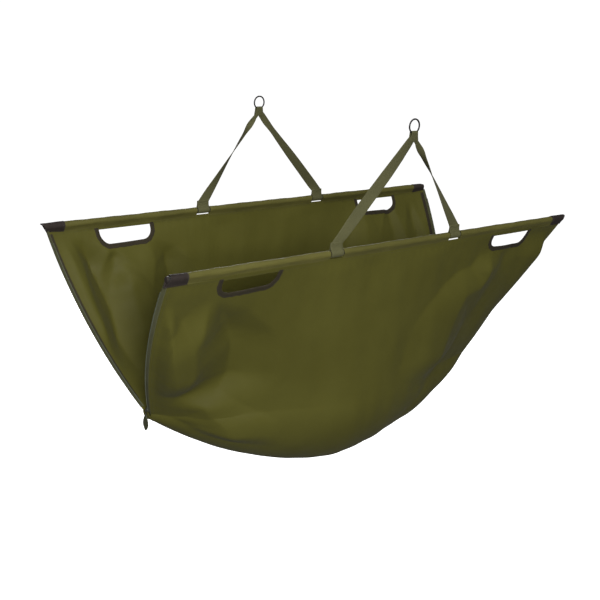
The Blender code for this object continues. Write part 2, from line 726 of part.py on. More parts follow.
def make_ring_tab(name):
    """Sewn tab above the legs, rolled round the ring's wire and narrow enough to turn in it."""
    room = RING_WIRE + RING_SWING_ROOM + ring_rise(TONGUE_WIDTH / 2)
    outer = room + TAB_WALL
    roll = arc_points((0, RING_HINGE_RISE), outer, math.radians(-30), math.radians(210), ROUND_STEPS)
    foot = TAB_FOOT_RISE + FIT_GAP
    legs = WEBBING + FIT_GAP / 2
    outline = roll + [(-legs, foot), (legs, foot)]
    frame = Matrix.Translation((APEX_SHIFT_X, 0, 0)) @ ACROSS
    hole = circle_points((0, RING_HINGE_RISE), room)
    tab = add_part(name, prism_mesh(name, [outline, hole], TAB_WIDTH, frame), "webbing", math.radians(40))
    low_z = BAR_Z + RING_HINGE_RISE - RING_WIRE - 2 * RING_SWING_ROOM
    for side in (-1, 1):
        near, far = sorted((side * TONGUE_WIDTH / 2, side * (TAB_WIDTH / 2 + CUT_OVERRUN)))
        low = (APEX_SHIFT_X + near, BAR_Y - CUT_OVERRUN, low_z)
        high = (APEX_SHIFT_X + far, BAR_Y + CUT_OVERRUN, low_z + CUT_OVERRUN)
        label = name + ("_left_corner" if side < 0 else "_right_corner")
        cut(tab, add_cutter(label, box_mesh(label, low, high)))
    return tab


def ring_rise(x):
    """Rise of the ring's wire above its hinge line at a place across the tab."""
    return RING_CENTRE_RISE - math.sqrt(RING_RADIUS ** 2 - x ** 2) - RING_HINGE_RISE


def make_ring(name):
    """Round steel ring that takes the scale's hook."""
    place = (APEX_SHIFT_X, BAR_Y, BAR_Z + RING_CENTRE_RISE)
    bpy.ops.mesh.primitive_torus_add(
        location=place, rotation=(math.pi / 2, 0, 0), major_radius=RING_RADIUS, minor_radius=RING_WIRE,
        major_segments=ROUND_STEPS + ROUND_STEPS // 3, minor_segments=ROUND_STEPS // 3,
    )
    made = bpy.context.object
    made.name = name
    made.data.name = name
    made.data.materials.append(MATERIALS["steel"])
    made.data.shade_smooth()
    for owner in list(made.users_collection):
        owner.objects.unlink(made)
    PARTS.objects.link(made)
    return made


def make_base(name):
    """Bottom of the pouch: half a spindle turned about the hinge line."""
    mesh = bpy.data.meshes.new(name)
    work = bmesh.new()
    stations = [BASE_END_X * (2 * step / BASE_COLUMNS - 1) for step in range(BASE_COLUMNS + 1)]
    points = [work.verts.new((x, -spindle_radius(x), 0)) for x in stations]
    for pair in zip(points, points[1:]):
        work.edges.new(pair)
    work.to_mesh(mesh)
    work.free()
    base = add_part(name, mesh, "cloth")
    base.location = (0, 0, HINGE_Z)
    turn = base.modifiers.new("turn", "SCREW")
    turn.axis = "X"
    turn.angle = math.pi
    turn.steps = BASE_STEPS
    turn.render_steps = BASE_STEPS
    turn.use_smooth_shade = True
    shell = base.modifiers.new("cloth", "SOLIDIFY")
    shell.thickness = CLOTH
    shell.offset = 1
    return base


def make_corner_patch(name, side):
    """Folded and sewn corner that closes the foot of an end zip."""
    slope = (spindle_radius(BASE_END_X - CLOTH) - spindle_radius(BASE_END_X)) / CLOTH
    wall = CLOTH * math.hypot(1, slope) + FIT_GAP
    depth = 2 * CLOTH
    wide = spindle_radius(BASE_END_X - depth) - wall
    narrow = spindle_radius(BASE_END_X) - wall
    work = bmesh.new()
    frame = Matrix.Translation((side * (BASE_END_X - depth / 2), 0, HINGE_Z))
    frame = frame @ Matrix.Rotation(side * math.pi / 2, 4, "Y")
    bmesh.ops.create_cone(work, cap_ends=True, segments=ROUND_STEPS, radius1=wide, radius2=narrow,
                          depth=depth, matrix=frame)
    every = work.verts[:] + work.edges[:] + work.faces[:]
    bmesh.ops.bisect_plane(work, geom=every, plane_co=(0, 0, HINGE_Z - FIT_GAP), plane_no=(0, 0, 1),
                           clear_outer=True)
    bmesh.ops.holes_fill(work, edges=work.edges[:])
    bmesh.ops.recalc_face_normals(work, faces=work.faces)
    mesh = bpy.data.meshes.new(name)
    work.to_mesh(mesh)
    work.free()
    return add_part(name, mesh, "patch", math.radians(40))


def make_pouch_bottom():
    """The fixed bottom of the pouch and its two closed corners."""
    make_base("base_panel")
    for word, side in (("left", -1), ("right", 1)):
        make_corner_patch(word + "_corner_patch", side)


def make_side():
    """Everything that moves with one long side, as front piece and rear twin."""
    twins = []

    def keep(front, front_word, rear_word):
        twins.append((front, front.name.replace(front_word, rear_word)))

    keep(make_bar("front_bar"), "front", "rear")
    keep(make_sleeve("front_middle_sleeve", -NOTCH_INNER_X, NOTCH_INNER_X), "front", "rear")
    panel = make_panel("front_panel")
    keep(panel, "front", "rear")
    for word, other, side in (("left", "right", -1), ("right", "left", 1)):
        front, rear = "front_" + word, "rear_" + other
        low, high = sorted((side * NOTCH_OUTER_X, side * PATCH_START_X))
        keep(make_bar_plug(front + "_bar_plug", side), front, rear)
        keep(make_sleeve(front + "_sleeve", low, high), front, rear)
        keep(make_end_patch(front + "_end_patch", side), front, rear)
        cut(panel, hole_cutter(front + "_hand_hole", side))
        keep(make_hole_binding(front + "_hole_binding", side), front, rear)
        tape_foot = PARKED_TAPE_FOOT if side < 0 else CHAIN_FOOT
        chain_foot = PARKED_CHAIN_FOOT if side < 0 else CHAIN_FOOT
        tape_inner, tape_outer = CHAIN_SETBACK + CHAIN_WIDTH + FIT_GAP, TAPE_WIDTH - FIT_GAP
        keep(make_zip_strip(front + "_zip_tape", side, tape_foot, tape_inner, tape_outer,
                            TAPE_THICKNESS, "binding"), front, rear)
        keep(make_zip_strip(front + "_zip_chain", side, chain_foot, CHAIN_SETBACK,
                            CHAIN_SETBACK + CHAIN_WIDTH, CHAIN_THICKNESS, "chain"), front, rear)
        keep(make_loop(front + "_loop", side), front, rear)
    lean = (WEBBING + FIT_GAP) / 2
    keep(make_plain_leg("front_left_strap", -1, -lean), "front_left", "rear_right")
    keep(make_twisted_leg("front_right_strap", 1, lean), "front_right", "rear_left")
    keep(make_ring_tab("front_ring_tab"), "front", "rear")
    keep(make_ring("front_ring"), "front", "rear")
    keep(make_slider("left_zip_slider", -1), "left", "right")
    keep(make_pull_link("left_pull_link", -1), "left", "right")
    keep(make_pull("left_zip_pull", -1), "left", "right")
    bpy.context.view_layer.update()
    for front, name in twins:
        turned = add_twin(front, name)
        for change in turned.modifiers:
            if change.type == "BOOLEAN":
                change.object = rear_cutter(change.object)


def rear_cutter(front):
    """Rear twin of a cutting body."""
    name = front.name + "_rear"
    if name in bpy.data.objects:
        return bpy.data.objects[name]
    made = add_cutter(name, front.data)
    made.matrix_world = Matrix.Rotation(math.pi, 4, "Z") @ front.matrix_world
    return made


make_pouch_bottom()
make_side()
bpy.context.view_layer.update()
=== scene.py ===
"""Looks of a weigh sling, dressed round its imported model.

Every maker works on the front half in the shared frame, +X along the bars and +Z up. A rear piece
is made the same way and then turned half a turn about the Z axis. Lengths are in metres, and an end
is -1 or 1, the front side's left or right.
"""

import logging
import math
from dataclasses import dataclass, field
from enum import Enum
from typing import Callable, Optional, Sequence

import bmesh
import bpy
import numpy as np
from mathutils import Matrix, Vector


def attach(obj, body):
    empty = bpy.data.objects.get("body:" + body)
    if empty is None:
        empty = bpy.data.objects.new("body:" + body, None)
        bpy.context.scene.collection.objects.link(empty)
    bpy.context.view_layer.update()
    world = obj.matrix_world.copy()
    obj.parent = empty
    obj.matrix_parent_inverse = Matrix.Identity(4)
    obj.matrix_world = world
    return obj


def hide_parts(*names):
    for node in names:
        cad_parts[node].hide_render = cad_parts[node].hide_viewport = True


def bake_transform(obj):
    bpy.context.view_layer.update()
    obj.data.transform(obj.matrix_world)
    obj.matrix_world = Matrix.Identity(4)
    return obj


LOG = logging.getLogger("weigh_sling")
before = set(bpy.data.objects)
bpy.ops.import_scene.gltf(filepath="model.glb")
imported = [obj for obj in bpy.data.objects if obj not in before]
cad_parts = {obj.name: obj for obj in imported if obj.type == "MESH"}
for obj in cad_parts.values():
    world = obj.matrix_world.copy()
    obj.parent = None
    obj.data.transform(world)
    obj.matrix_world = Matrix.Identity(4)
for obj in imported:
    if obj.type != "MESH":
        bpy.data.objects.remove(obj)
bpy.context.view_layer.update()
THREAD_MAP = "thread"
ENDS = (-1, 1)
TURN = 2 * math.pi
Array = np.ndarray
Colour = tuple[float, float, float]
Pairs = Sequence[tuple[float, float]]
Socket = bpy.types.NodeSocket


class Side(Enum):
    """The two long sides of the sling."""

    FRONT = "front"
    REAR = "rear"

    def turned(self, points: Array) -> Array:
        """Points of this side, given as points of the front side."""
        return points if self is Side.FRONT else points * np.array((-1.0, -1.0, 1.0))

    def word(self, end: int) -> str:
        """Name that an end of the front side has on this side."""
        return "left" if (end < 0) == (self is Side.FRONT) else "right"


class Coat(Enum):
    """How a surface takes light."""

    CLOTH = "cloth"
    HARD = "hard"


def eased(share: Array) -> Array:
    """Smooth step from 0 to 1."""
    share = np.clip(share, 0, 1)
    return share * share * (3 - 2 * share)


def round_angles(count: int) -> Array:
    """Angles of points spread evenly round a circle."""
    return np.linspace(0, TURN, count, endpoint=False)


def circle_points(angles: Array) -> Array:
    """Points of the unit circle at angles."""
    return np.stack((np.cos(angles), np.sin(angles)), -1)


def tangents(points: Array, closed: bool = False) -> Array:
    """Unit vectors along a line, one at each of its points."""
    found = np.roll(points, -1, 0) - np.roll(points, 1, 0) if closed else np.gradient(points, axis=0)
    return found / np.linalg.norm(found, axis=1, keepdims=True)


def gone_along(points: Array) -> Array:
    """Distance gone along a line at each of its points."""
    steps = np.linalg.norm(np.diff(points, axis=0), axis=1)
    return np.concatenate(([0.0], np.cumsum(steps)))


def placed(frame: Matrix, points: Sequence[Sequence[float]]) -> list[tuple[float, ...]]:
    """Points given in a frame, as points of the space round it."""
    return [tuple(frame @ Vector(point)) for point in points]


@dataclass(frozen=True)
class Layout:
    """Sizes of the sling, and the curves that follow from them.

    The sizes from bar_y on follow from the others: depth of the front bar, height of the bars, height of
    the line that both sides fold about, height of a side above it, distance from it to a bar, angle
    between the upright and a zip's plane, and then place and radius of the pouch's bottom at a zip's
    foot, and depth of a side's top corner.
    """

    bar_length: float = 1.196
    bar_radius: float = 0.006
    bar_wall: float = 0.0012
    bar_spacing: float = 0.489
    hang_height: float = 0.2695
    hinge_depth: float = 0.375
    keel_depth: float = 0.210
    zip_rake: float = 0.1125
    zip_bow: float = 0.021
    tape_width: float = 0.012
    seam_drop: float = 0.015
    fit_gap: float = 0.0003
    lap_gap: float = 0.0008
    meet_radius: float = 0.0086
    spindle_power: float = 1.8
    swell: float = 0.32
    swell_end: float = 4.0
    corner_turn: float = 12.0
    bar_y: float = -bar_spacing / 2
    bar_z: float = -hang_height
    hinge_z: float = bar_z - hinge_depth
    panel_height: float = hinge_depth - seam_drop - fit_gap
    bar_reach: float = math.hypot(bar_y, hinge_depth)
    zip_angle: float = math.atan2(-bar_y, hinge_depth) - math.asin(meet_radius / bar_reach)
    zip_foot_x: float = bar_length / 2 - zip_rake
    tip_radius: float = tape_width / math.cos(zip_angle)
    corner_y: float = panel_height * math.tan(zip_angle) + tip_radius

    @property
    def arc(self) -> tuple[float, float, float]:
        """Centre and radius of the bowed line of a zip, as (x, reach, radius)."""
        foot = Vector((self.zip_foot_x, 0.0))
        head = Vector((self.bar_length / 2, self.bar_reach))
        chord = head - foot
        radius = chord.length ** 2 / (8 * self.zip_bow) + self.zip_bow / 2
        outward = Vector((chord.y, -chord.x)).normalized()
        centre = (foot + head) / 2 - outward * (radius - self.zip_bow)
        return centre.x, centre.y, radius

    def zip_x(self, reach: Array) -> Array:
        """Distance of a zip from the middle, at a reach from the folding line."""
        x, y, radius = self.arc
        return x + np.sqrt(radius ** 2 - (reach - y) ** 2)

    def zip_slope(self, reach: float) -> float:
        """Angle of that place about the arc's centre."""
        _, y, radius = self.arc
        return math.asin((reach - y) / radius)

    def spindle(self, x: Array) -> Array:
        """Radius of the pouch's bottom about the folding line."""
        share = np.minimum(1.0, np.abs(x) / self.zip_foot_x)
        return self.tip_radius + (self.keel_depth - self.tip_radius) * (1 - share ** self.spindle_power)

    def half_length(self, height: Array) -> Array:
        """Half length of a side, at a share of its height."""
        edge = self.tip_radius + (self.corner_y - self.tip_radius) * height
        reach = self.panel_height * height * math.cos(self.zip_angle) + edge * math.sin(self.zip_angle)
        return self.zip_x(reach)

    def height_at(self, z: Array) -> Array:
        """Share of a side's height that a level stands for."""
        return (np.asarray(z, float) - self.hinge_z) / self.panel_height

    def about_bar(self, x: Array, section: Array) -> Array:
        """Points at places along the front bar, from (depth, height) about its middle."""
        y, z = self.bar_y + section[..., 0], self.bar_z + section[..., 1]
        return np.stack(np.broadcast_arrays(x, y, z), -1)

    def zip_frame(self) -> Matrix:
        """Plane of the front side's zips: x, reach, and away from the closing plane."""
        turn = Matrix.Rotation(math.pi / 2 + self.zip_angle, 4, "X")
        return Matrix.Translation((0, 0, self.hinge_z)) @ turn


LAYOUT = Layout()


@dataclass(frozen=True)
class Crease:
    """A fold in a side.

    Its line runs from head to foot as (place along the bar, share of the height). It has a depth,
    positive inward, and a width to its left and right. Its crest is round to a radius. It fades in over
    the share fade of its length and out over the share tail. Its width grows from the share head at its
    head to the whole after the share run.
    """

    line: Pairs
    depth: float
    left: float
    right: float
    round: float = 0.005
    fade: float = 0.25
    tail: float = 0.30
    head: float = 0.30
    run: float = 0.55
    soft: float = 0.07

    def inward(self, x: Array, rise: Array) -> Array:
        """How far the fold draws the cloth inward.

        Args:
            x: Places along the bar.
            rise: Heights above the folding line.

        Returns:
            Depths, positive towards the inside of the pouch.
        """
        points = np.array(self.line) * np.array((1.0, LAYOUT.panel_height))
        nearest, signed = np.full(x.shape, np.inf), np.zeros(x.shape)
        for start, step in zip(points, np.diff(points, axis=0)):
            off_x, off_y = x - start[0], rise - start[1]
            share = np.clip((off_x * step[0] + off_y * step[1]) / (step @ step), 0, 1)
            far = np.hypot(off_x - share * step[0], off_y - share * step[1])
            signed = np.where(far < nearest, step[0] * off_y - step[1] * off_x, signed)
            nearest = np.minimum(far, nearest)
        along = (points[0, 1] - rise) / (points[0, 1] - points[-1, 1])
        spread = self.head + (1 - self.head) * eased(along / self.run)
        width = np.where(signed < 0, self.left, self.right) * spread
        climb = 1 - (np.sqrt(nearest ** 2 + self.round ** 2) - self.round) / width
        tent = 0.5 * (climb + np.sqrt(climb ** 2 + self.soft ** 2)) - self.soft / 8
        tent = np.maximum(tent, 0) * eased(climb + 1)
        return self.depth * tent * eased(along / self.fade) * eased((1 - along) / self.tail)


# After its line a fold has its depth, left and right, then round, fade, tail and head as far as given
FRONT_CREASES = (
    Crease(((-0.478, 0.88), (-0.484, 0.58), (-0.462, 0.41), (-0.468, 0.10)),
           -0.027, 0.110, 0.085, 0.002, 0.34, 0.36),
    Crease(((-0.474, 0.88), (-0.412, 0.68), (-0.380, 0.50), (-0.366, 0.27), (-0.400, 0.06)),
           0.029, 0.080, 0.100, 0.002, 0.40, 0.26),
    Crease(((-0.588, 0.92), (-0.541, 0.62), (-0.492, 0.35), (-0.466, 0.10)),
           -0.024, 0.055, 0.050, 0.002, 0.25, 0.40),
    Crease(((-0.490, 0.20), (-0.455, 0.155), (-0.400, 0.10), (-0.350, -0.12), (-0.315, -0.40)),
           -0.020, 0.075, 0.100, 0.004, 0.20),
    Crease(((0.350, 0.90), (0.346, 0.70), (0.328, 0.63), (0.270, 0.60), (0.253, 0.47), (0.237, 0.21),
            (0.207, -0.08)), -0.028, 0.140, 0.180, 0.003, 0.16, 0.25),
    Crease(((0.580, 0.98), (0.560, 0.80), (0.524, 0.54), (0.490, 0.30), (0.455, 0.08), (0.395, -0.18),
            (0.250, -0.60)), -0.029, 0.110, 0.075, 0.030, 0.12, 0.26, 1.0),
)
REAR_CREASES = (
    Crease(((0.535, 0.985), (0.500, 0.84), (0.482, 0.68), (0.467, 0.55), (0.465, 0.36), (0.450, 0.10)),
           -0.034, 0.095, 0.060, 0.002, 0.22, 0.35),
    Crease(((0.562, 0.95), (0.552, 0.70), (0.536, 0.50), (0.505, 0.30)), 0.009, 0.040, 0.036, 0.003),
    Crease(((0.447, 0.87), (0.441, 0.79), (0.430, 0.62)), -0.013, 0.045, 0.034, 0.002, 0.20, 0.55),
    Crease(((0.330, 0.90), (0.298, 0.80), (0.290, 0.67), (0.300, 0.36)),
           -0.022, 0.075, 0.060, 0.002, 0.30, 0.50),
    Crease(((0.425, 0.80), (0.415, 0.60), (0.408, 0.40), (0.416, 0.20)), 0.014, 0.075, 0.060),
    Crease(((-0.452, 0.97), (-0.450, 0.74), (-0.430, 0.40)), -0.012, 0.035, 0.050, 0.003, 0.15),
    Crease(((-0.534, 0.96), (-0.529, 0.68), (-0.505, 0.35)), -0.010, 0.030, 0.045, 0.003),
    Crease(((-0.350, 0.92), (-0.340, 0.60), (-0.300, 0.30)), 0.010, 0.070, 0.070),
)


@dataclass(frozen=True)
class Bulge:
    """A broad swelling of the cloth round a place on a side."""

    x: float
    height: float
    size_x: float
    size_rise: float
    depth: float

    def at(self, x: Array, rise: Array) -> Array:
        """How far the cloth swells out at places on a side."""
        far_x = (x - self.x) / self.size_x
        far_rise = (rise - self.height * LAYOUT.panel_height) / self.size_rise
        return self.depth * np.exp(-far_x ** 2 - far_rise ** 2)


@dataclass(frozen=True)
class Ripple:
    """A low wave in the cloth, which leans and comes and goes with the height."""

    height: float
    length_x: float
    length_rise: float
    turn: float
    lean: float = 0.35
    lag: float = 1.7
    steady: float = 0.6

    def at(self, x: Array, rise: Array) -> Array:
        """Height of the wave at places on a side."""
        across = np.sin(TURN * (x / self.length_x + self.lean * rise / self.length_rise) + self.turn)
        up = np.cos(TURN * rise / self.length_rise + self.lag * self.turn)
        return self.height * across * (self.steady + (1 - self.steady) * up)


RIPPLES = (Ripple(0.0022, 0.310, 0.42, 0.7), Ripple(0.0011, 0.137, 0.23, 2.1),
           Ripple(0.0005, 0.061, 0.15, 4.4))


@dataclass(frozen=True)
class ClothForm:
    """The hung shape of one side, from the keel up to the sleeve's seam.

    A place on it is (along, height): along runs from -1 to 1 between the zips, and height runs from
    -1 at the keel over 0 at the folding line to 1 at the seam.
    """

    creases: Sequence[Crease]
    bulge: Bulge
    lift: float = 0.0008
    keel_arc: float = 0.30
    calm_end: float = 0.035
    calm_seam: float = 0.030
    calm_keel: float = 0.045
    pucker: float = 0.00028
    pucker_length: float = 0.021
    seam_drift: float = 0.07
    end_drift: float = 0.05
    pucker_reach: float = 0.030
    edge_stretch: float = 1.3
    seam_hold: float = 0.006
    end_hold: float = 0.008
    keel_fade: float = 0.2

    def bare(self, along: Array, height: Array) -> Array:
        """Find points of the side without its folds.

        Args:
            along: Shares of the half length, from -1 to 1.
            height: Shares of the panel's height, and below 0 of the turn into the pouch's bottom.

        Returns:
            The points, x, y and z last.
        """
        up = np.maximum(height, 0)
        share = np.minimum(1.0, np.abs(along))
        foot = LAYOUT.spindle(along * LAYOUT.half_length(0.0)) + LAYOUT.lap_gap
        top = -LAYOUT.bar_y + (LAYOUT.corner_y + LAYOUT.bar_y) * share ** LAYOUT.corner_turn
        power = 1 + LAYOUT.swell * (1 - share ** LAYOUT.swell_end)
        turn = np.minimum(height, 0) * math.pi / 2
        y = np.where(height >= 0, -(foot + (top - foot) * up ** power), -foot * np.cos(turn))
        z = np.where(height >= 0, LAYOUT.panel_height * up, foot * np.sin(turn))
        return np.stack((along * LAYOUT.half_length(up), y, LAYOUT.hinge_z + z), axis=-1)

    def outward(self, along: Array, height: Array, step: float = 0.002) -> Array:
        """Unit normals of the side, away from the inside of the pouch."""
        across = self.bare(along + step, height) - self.bare(along - step, height)
        rising = self.bare(along, height + step) - self.bare(along, height - step)
        normal = np.cross(across, rising)
        return normal / np.linalg.norm(normal, axis=-1, keepdims=True)

    def hollow(self, along: Array, height: Array) -> Array:
        """How far folds, ripples and puckers draw the cloth inward."""
        half = LAYOUT.half_length(np.maximum(height, 0))
        x = along * half
        rise = np.where(height >= 0, LAYOUT.panel_height, self.keel_arc) * height
        depth = sum(crease.inward(x, rise) for crease in self.creases)
        depth = depth + sum(ripple.at(x, rise) for ripple in RIPPLES) - self.bulge.at(x, rise)
        from_end = np.maximum(half * (1 - np.abs(along)), 0)
        from_seam = LAYOUT.panel_height * np.maximum(1 - height, 0)
        from_keel = self.keel_arc * (1 + height)
        calm = eased(from_end / self.calm_end) * eased(from_seam / self.calm_seam)
        calm = calm * eased(from_keel / self.calm_keel)
        seam = np.exp(-from_seam / self.pucker_reach) * eased(from_seam / self.seam_hold)
        seam = seam * np.sin(TURN * x / self.pucker_length + 3 * np.sin(x / self.seam_drift))
        edge = np.exp(-from_end / self.pucker_reach) * eased(from_end / self.end_hold)
        edge_wave = TURN * rise / (self.edge_stretch * self.pucker_length) + 2 * np.sin(rise / self.end_drift)
        edge = edge * np.sin(edge_wave) * eased(from_keel / self.keel_fade)
        return depth * calm + self.pucker * (seam + edge)

    def place(self, along: Array, height: Array, lift: float = 0.0) -> Array:
        """Points on the hung cloth.

        Args:
            along: Places between the zips, -1 to 1.
            height: Places from the keel, -1, to the seam, 1.
            lift: Distance out from the cloth's middle.

        Returns:
            Points, one for each place.
        """
        out = self.lift + lift - self.hollow(along, height)
        return self.bare(along, height) + self.outward(along, height) * out[..., None]


FORMS = {Side.FRONT: ClothForm(FRONT_CREASES, Bulge(0.430, 0.02, 0.080, 0.150, 0.014)),
         Side.REAR: ClothForm(REAR_CREASES, Bulge(0.0, 0.35, 0.300, 0.150, 0.006))}


@dataclass
class Shape:
    """Vertices, faces and thread coordinates of a mesh in the making.

    The methods that skin a form add it to the shape and give the shape back.
    """

    verts: list[Array] = field(default_factory=list)
    faces: list[tuple[int, ...]] = field(default_factory=list)
    uvs: list[tuple[float, float]] = field(default_factory=list)
    count: int = 0

    def add(self, verts: Array, faces: Sequence[Sequence[int]], uvs: Optional[Pairs] = None) -> "Shape":
        """Add vertices, and faces that count from the first of them.

        Args:
            verts: Points, one row each.
            faces: Corner numbers of each face.
            uvs: One pair for each face corner, in metres of thread.

        Returns:
            This shape.
        """
        self.faces.extend(tuple(int(corner) + self.count for corner in face) for face in faces)
        self.verts.append(np.asarray(verts, float).reshape(-1, 3))
        self.count += len(self.verts[-1])
        self.uvs.extend(uvs if uvs is not None else [(0.0, 0.0)] * sum(map(len, faces)))
        return self

    def loft(self, rings: Sequence[Array], closed: bool = False) -> "Shape":
        """Skin a row of like sections, each of which is closed.

        Args:
            rings: Points as (section, point, 3).
            closed: Whether the last section joins the first. If not, both are filled.

        Returns:
            This shape.
        """
        rings = np.asarray(rings, float)
        count, size, _ = rings.shape
        row = np.arange(count if closed else count - 1)
        i, j = (grid.ravel() for grid in np.meshgrid(row, np.arange(size), indexing="ij"))
        this, after = i * size, (i + 1) % count * size
        next_j = (j + 1) % size
        faces = np.stack((this + j, this + next_j, after + next_j, after + j), -1).tolist()
        middle, centres = rings[count // 2], rings.mean(axis=1)
        around = gone_along(np.concatenate((middle, middle[:1])))
        length = gone_along(np.concatenate((centres, centres[:1])))
        u = np.stack((around[j], around[j + 1], around[j + 1], around[j]), -1).ravel()
        v = np.stack((length[i], length[i], length[i + 1], length[i + 1]), -1).ravel()
        uvs = list(zip(u.tolist(), v.tolist()))
        if not closed:
            faces += [list(range(size)), list(range((count - 1) * size, count * size))]
            uvs += [(0.0, 0.0)] * (2 * size)
        return self.add(rings, faces, uvs)

    def tube(self, points: Array, radius: float, closed: bool = False, sides: int = 14,
             shrink: Optional[Array] = None) -> "Shape":
        """Skin a round wire.

        Args:
            points: Centre line.
            radius: Radius of the wire.
            closed: Whether the wire joins its own start.
            sides: Points round the wire.
            shrink: Share of the radius at each point.

        Returns:
            This shape.
        """
        points = np.asarray(points, float)
        ways = tangents(points, closed)
        normal = np.cross(ways[0], (0.31, 0.77, 0.55))
        shares = np.ones(len(points)) if shrink is None else shrink
        rings = []
        for place, way, share in zip(points, ways, shares):
            normal = normal - way * np.dot(normal, way)
            normal /= np.linalg.norm(normal)
            ring = circle_points(round_angles(sides)) @ np.stack((normal, np.cross(way, normal)))
            rings.append(place + ring * radius * share)
        return self.loft(rings, closed)

    def ribbon(self, centres: Array, halves: Array, normals: Array, thickness: float,
               closed: bool = False) -> "Shape":
        """Skin a flat band with rounded selvedges.

        Args:
            centres: Centre line of the band.
            halves: Vector from the centre line to one edge, for each point.
            normals: Unit normal of the band, for each point.
            thickness: Thickness of the band.
            closed: Whether the band joins its own start.

        Returns:
            This shape.
        """
        across = np.sin(np.linspace(-1, 1, 11) * math.pi / 2)
        height = np.sqrt(np.maximum(0.06, 1 - np.abs(across) ** 14)) * thickness / 2
        top = centres[:, None] + halves[:, None] * across[None, :, None]
        lift = normals[:, None] * height[None, :, None]
        return self.loft(np.concatenate((top + lift, (top - lift)[:, ::-1]), axis=1), closed)

    def pillow(self, outline: Array, heights: Pairs, frame: Matrix) -> "Shape":
        """Skin a plate whose edge is rounded by insets of one outline.

        Args:
            outline: Plate outline as (point, 2).
            heights: Pairs of inset share and height, from the lower face to the upper face.
            frame: Where the plate lies.

        Returns:
            This shape.
        """
        centre = outline.mean(axis=0)
        return self.loft([placed(frame, [(x, y, height) for x, y in centre + (outline - centre) * scale])
                          for scale, height in heights])

    def mesh(self, name: str, side: Side = Side.FRONT, sharp: float = 40.0) -> bpy.types.Mesh:
        """Make the Blender mesh, closed parts with their faces pointing out.

        Args:
            name: Name of the mesh.
            side: Side of the sling that it belongs to.
            sharp: Angle in degrees past which an edge stays hard.

        Returns:
            The mesh, smooth shaded.
        """
        mesh = bpy.data.meshes.new(name)
        mesh.from_pydata(side.turned(np.concatenate(self.verts)).tolist(), [], self.faces)
        layer = mesh.uv_layers.new(name=THREAD_MAP)
        layer.data.foreach_set("uv", np.array(self.uvs, np.float32).ravel())
        work = bmesh.new()
        work.from_mesh(mesh)
        bmesh.ops.recalc_face_normals(work, faces=work.faces)
        work.to_mesh(mesh)
        work.free()
        mesh.shade_smooth()
        mesh.set_sharp_from_angle(angle=math.radians(sharp))
        return mesh


@dataclass(frozen=True)
class Thread:
    """A row of machine stitches, each a small bead that dips into the cloth at both ends."""

    stitch: float = 0.0030
    pitch: float = 0.0038
    radius: float = 0.00032
    sides: int = 5
    marks: tuple[float, ...] = (0.0, 0.22, 0.78, 1.0)
    dip: float = 0.45

    def row(self, shape: Shape, points: Array, normals: Array) -> None:
        """Lay stitches along a line on a surface.

        Args:
            shape: Shape that takes the stitches.
            points: The line.
            normals: Surface normal at each point of it.
        """
        gone = gone_along(points)
        circle = circle_points(np.arange(self.sides) * TURN / self.sides)
        faces, last = [], 2 * self.sides + 1
        for j in range(1, self.sides + 1):
            k = j % self.sides + 1
            far_j, far_k = self.sides + j, self.sides + k
            faces += [(0, k, j), (j, k, far_k, far_j), (far_j, far_k, last)]
        for start in np.arange(self.pitch / 2, gone[-1] - self.stitch, self.pitch):
            marks = start + self.stitch * np.array(self.marks)
            place = np.stack([np.interp(marks, gone, points[:, axis]) for axis in range(3)], -1)
            out = np.array([np.interp(marks[1], gone, normals[:, axis]) for axis in range(3)])
            way = place[3] - place[0]
            out = out - way * np.dot(out, way) / np.dot(way, way)
            out /= np.linalg.norm(out)
            wide = np.cross(way / np.linalg.norm(way), out)
            lift = out * self.radius * self.dip
            bead = lift + self.radius * circle @ np.stack((wide, out))
            shape.add(np.vstack((place[0] - lift, place[1] + bead, place[2] + bead, place[3] - lift)), faces)

    def straight(self, shape: Shape, start: tuple[float, float], finish: tuple[float, float],
                 depth: float) -> None:
        """Lay a straight row on an upright face beside the front bar.

        Args:
            shape: Shape that takes the stitches.
            start: First point, as (place along the bar, height above it).
            finish: Last point, likewise.
            depth: How far the face lies behind the bar, or before it where negative.
        """
        ends = np.array((start, finish))
        section = np.stack((np.full(2, depth), ends[:, 1]), -1)
        normals = np.tile((0.0, math.copysign(1.0, depth), 0.0), (2, 1))
        self.row(shape, LAYOUT.about_bar(ends[:, 0], section), normals)


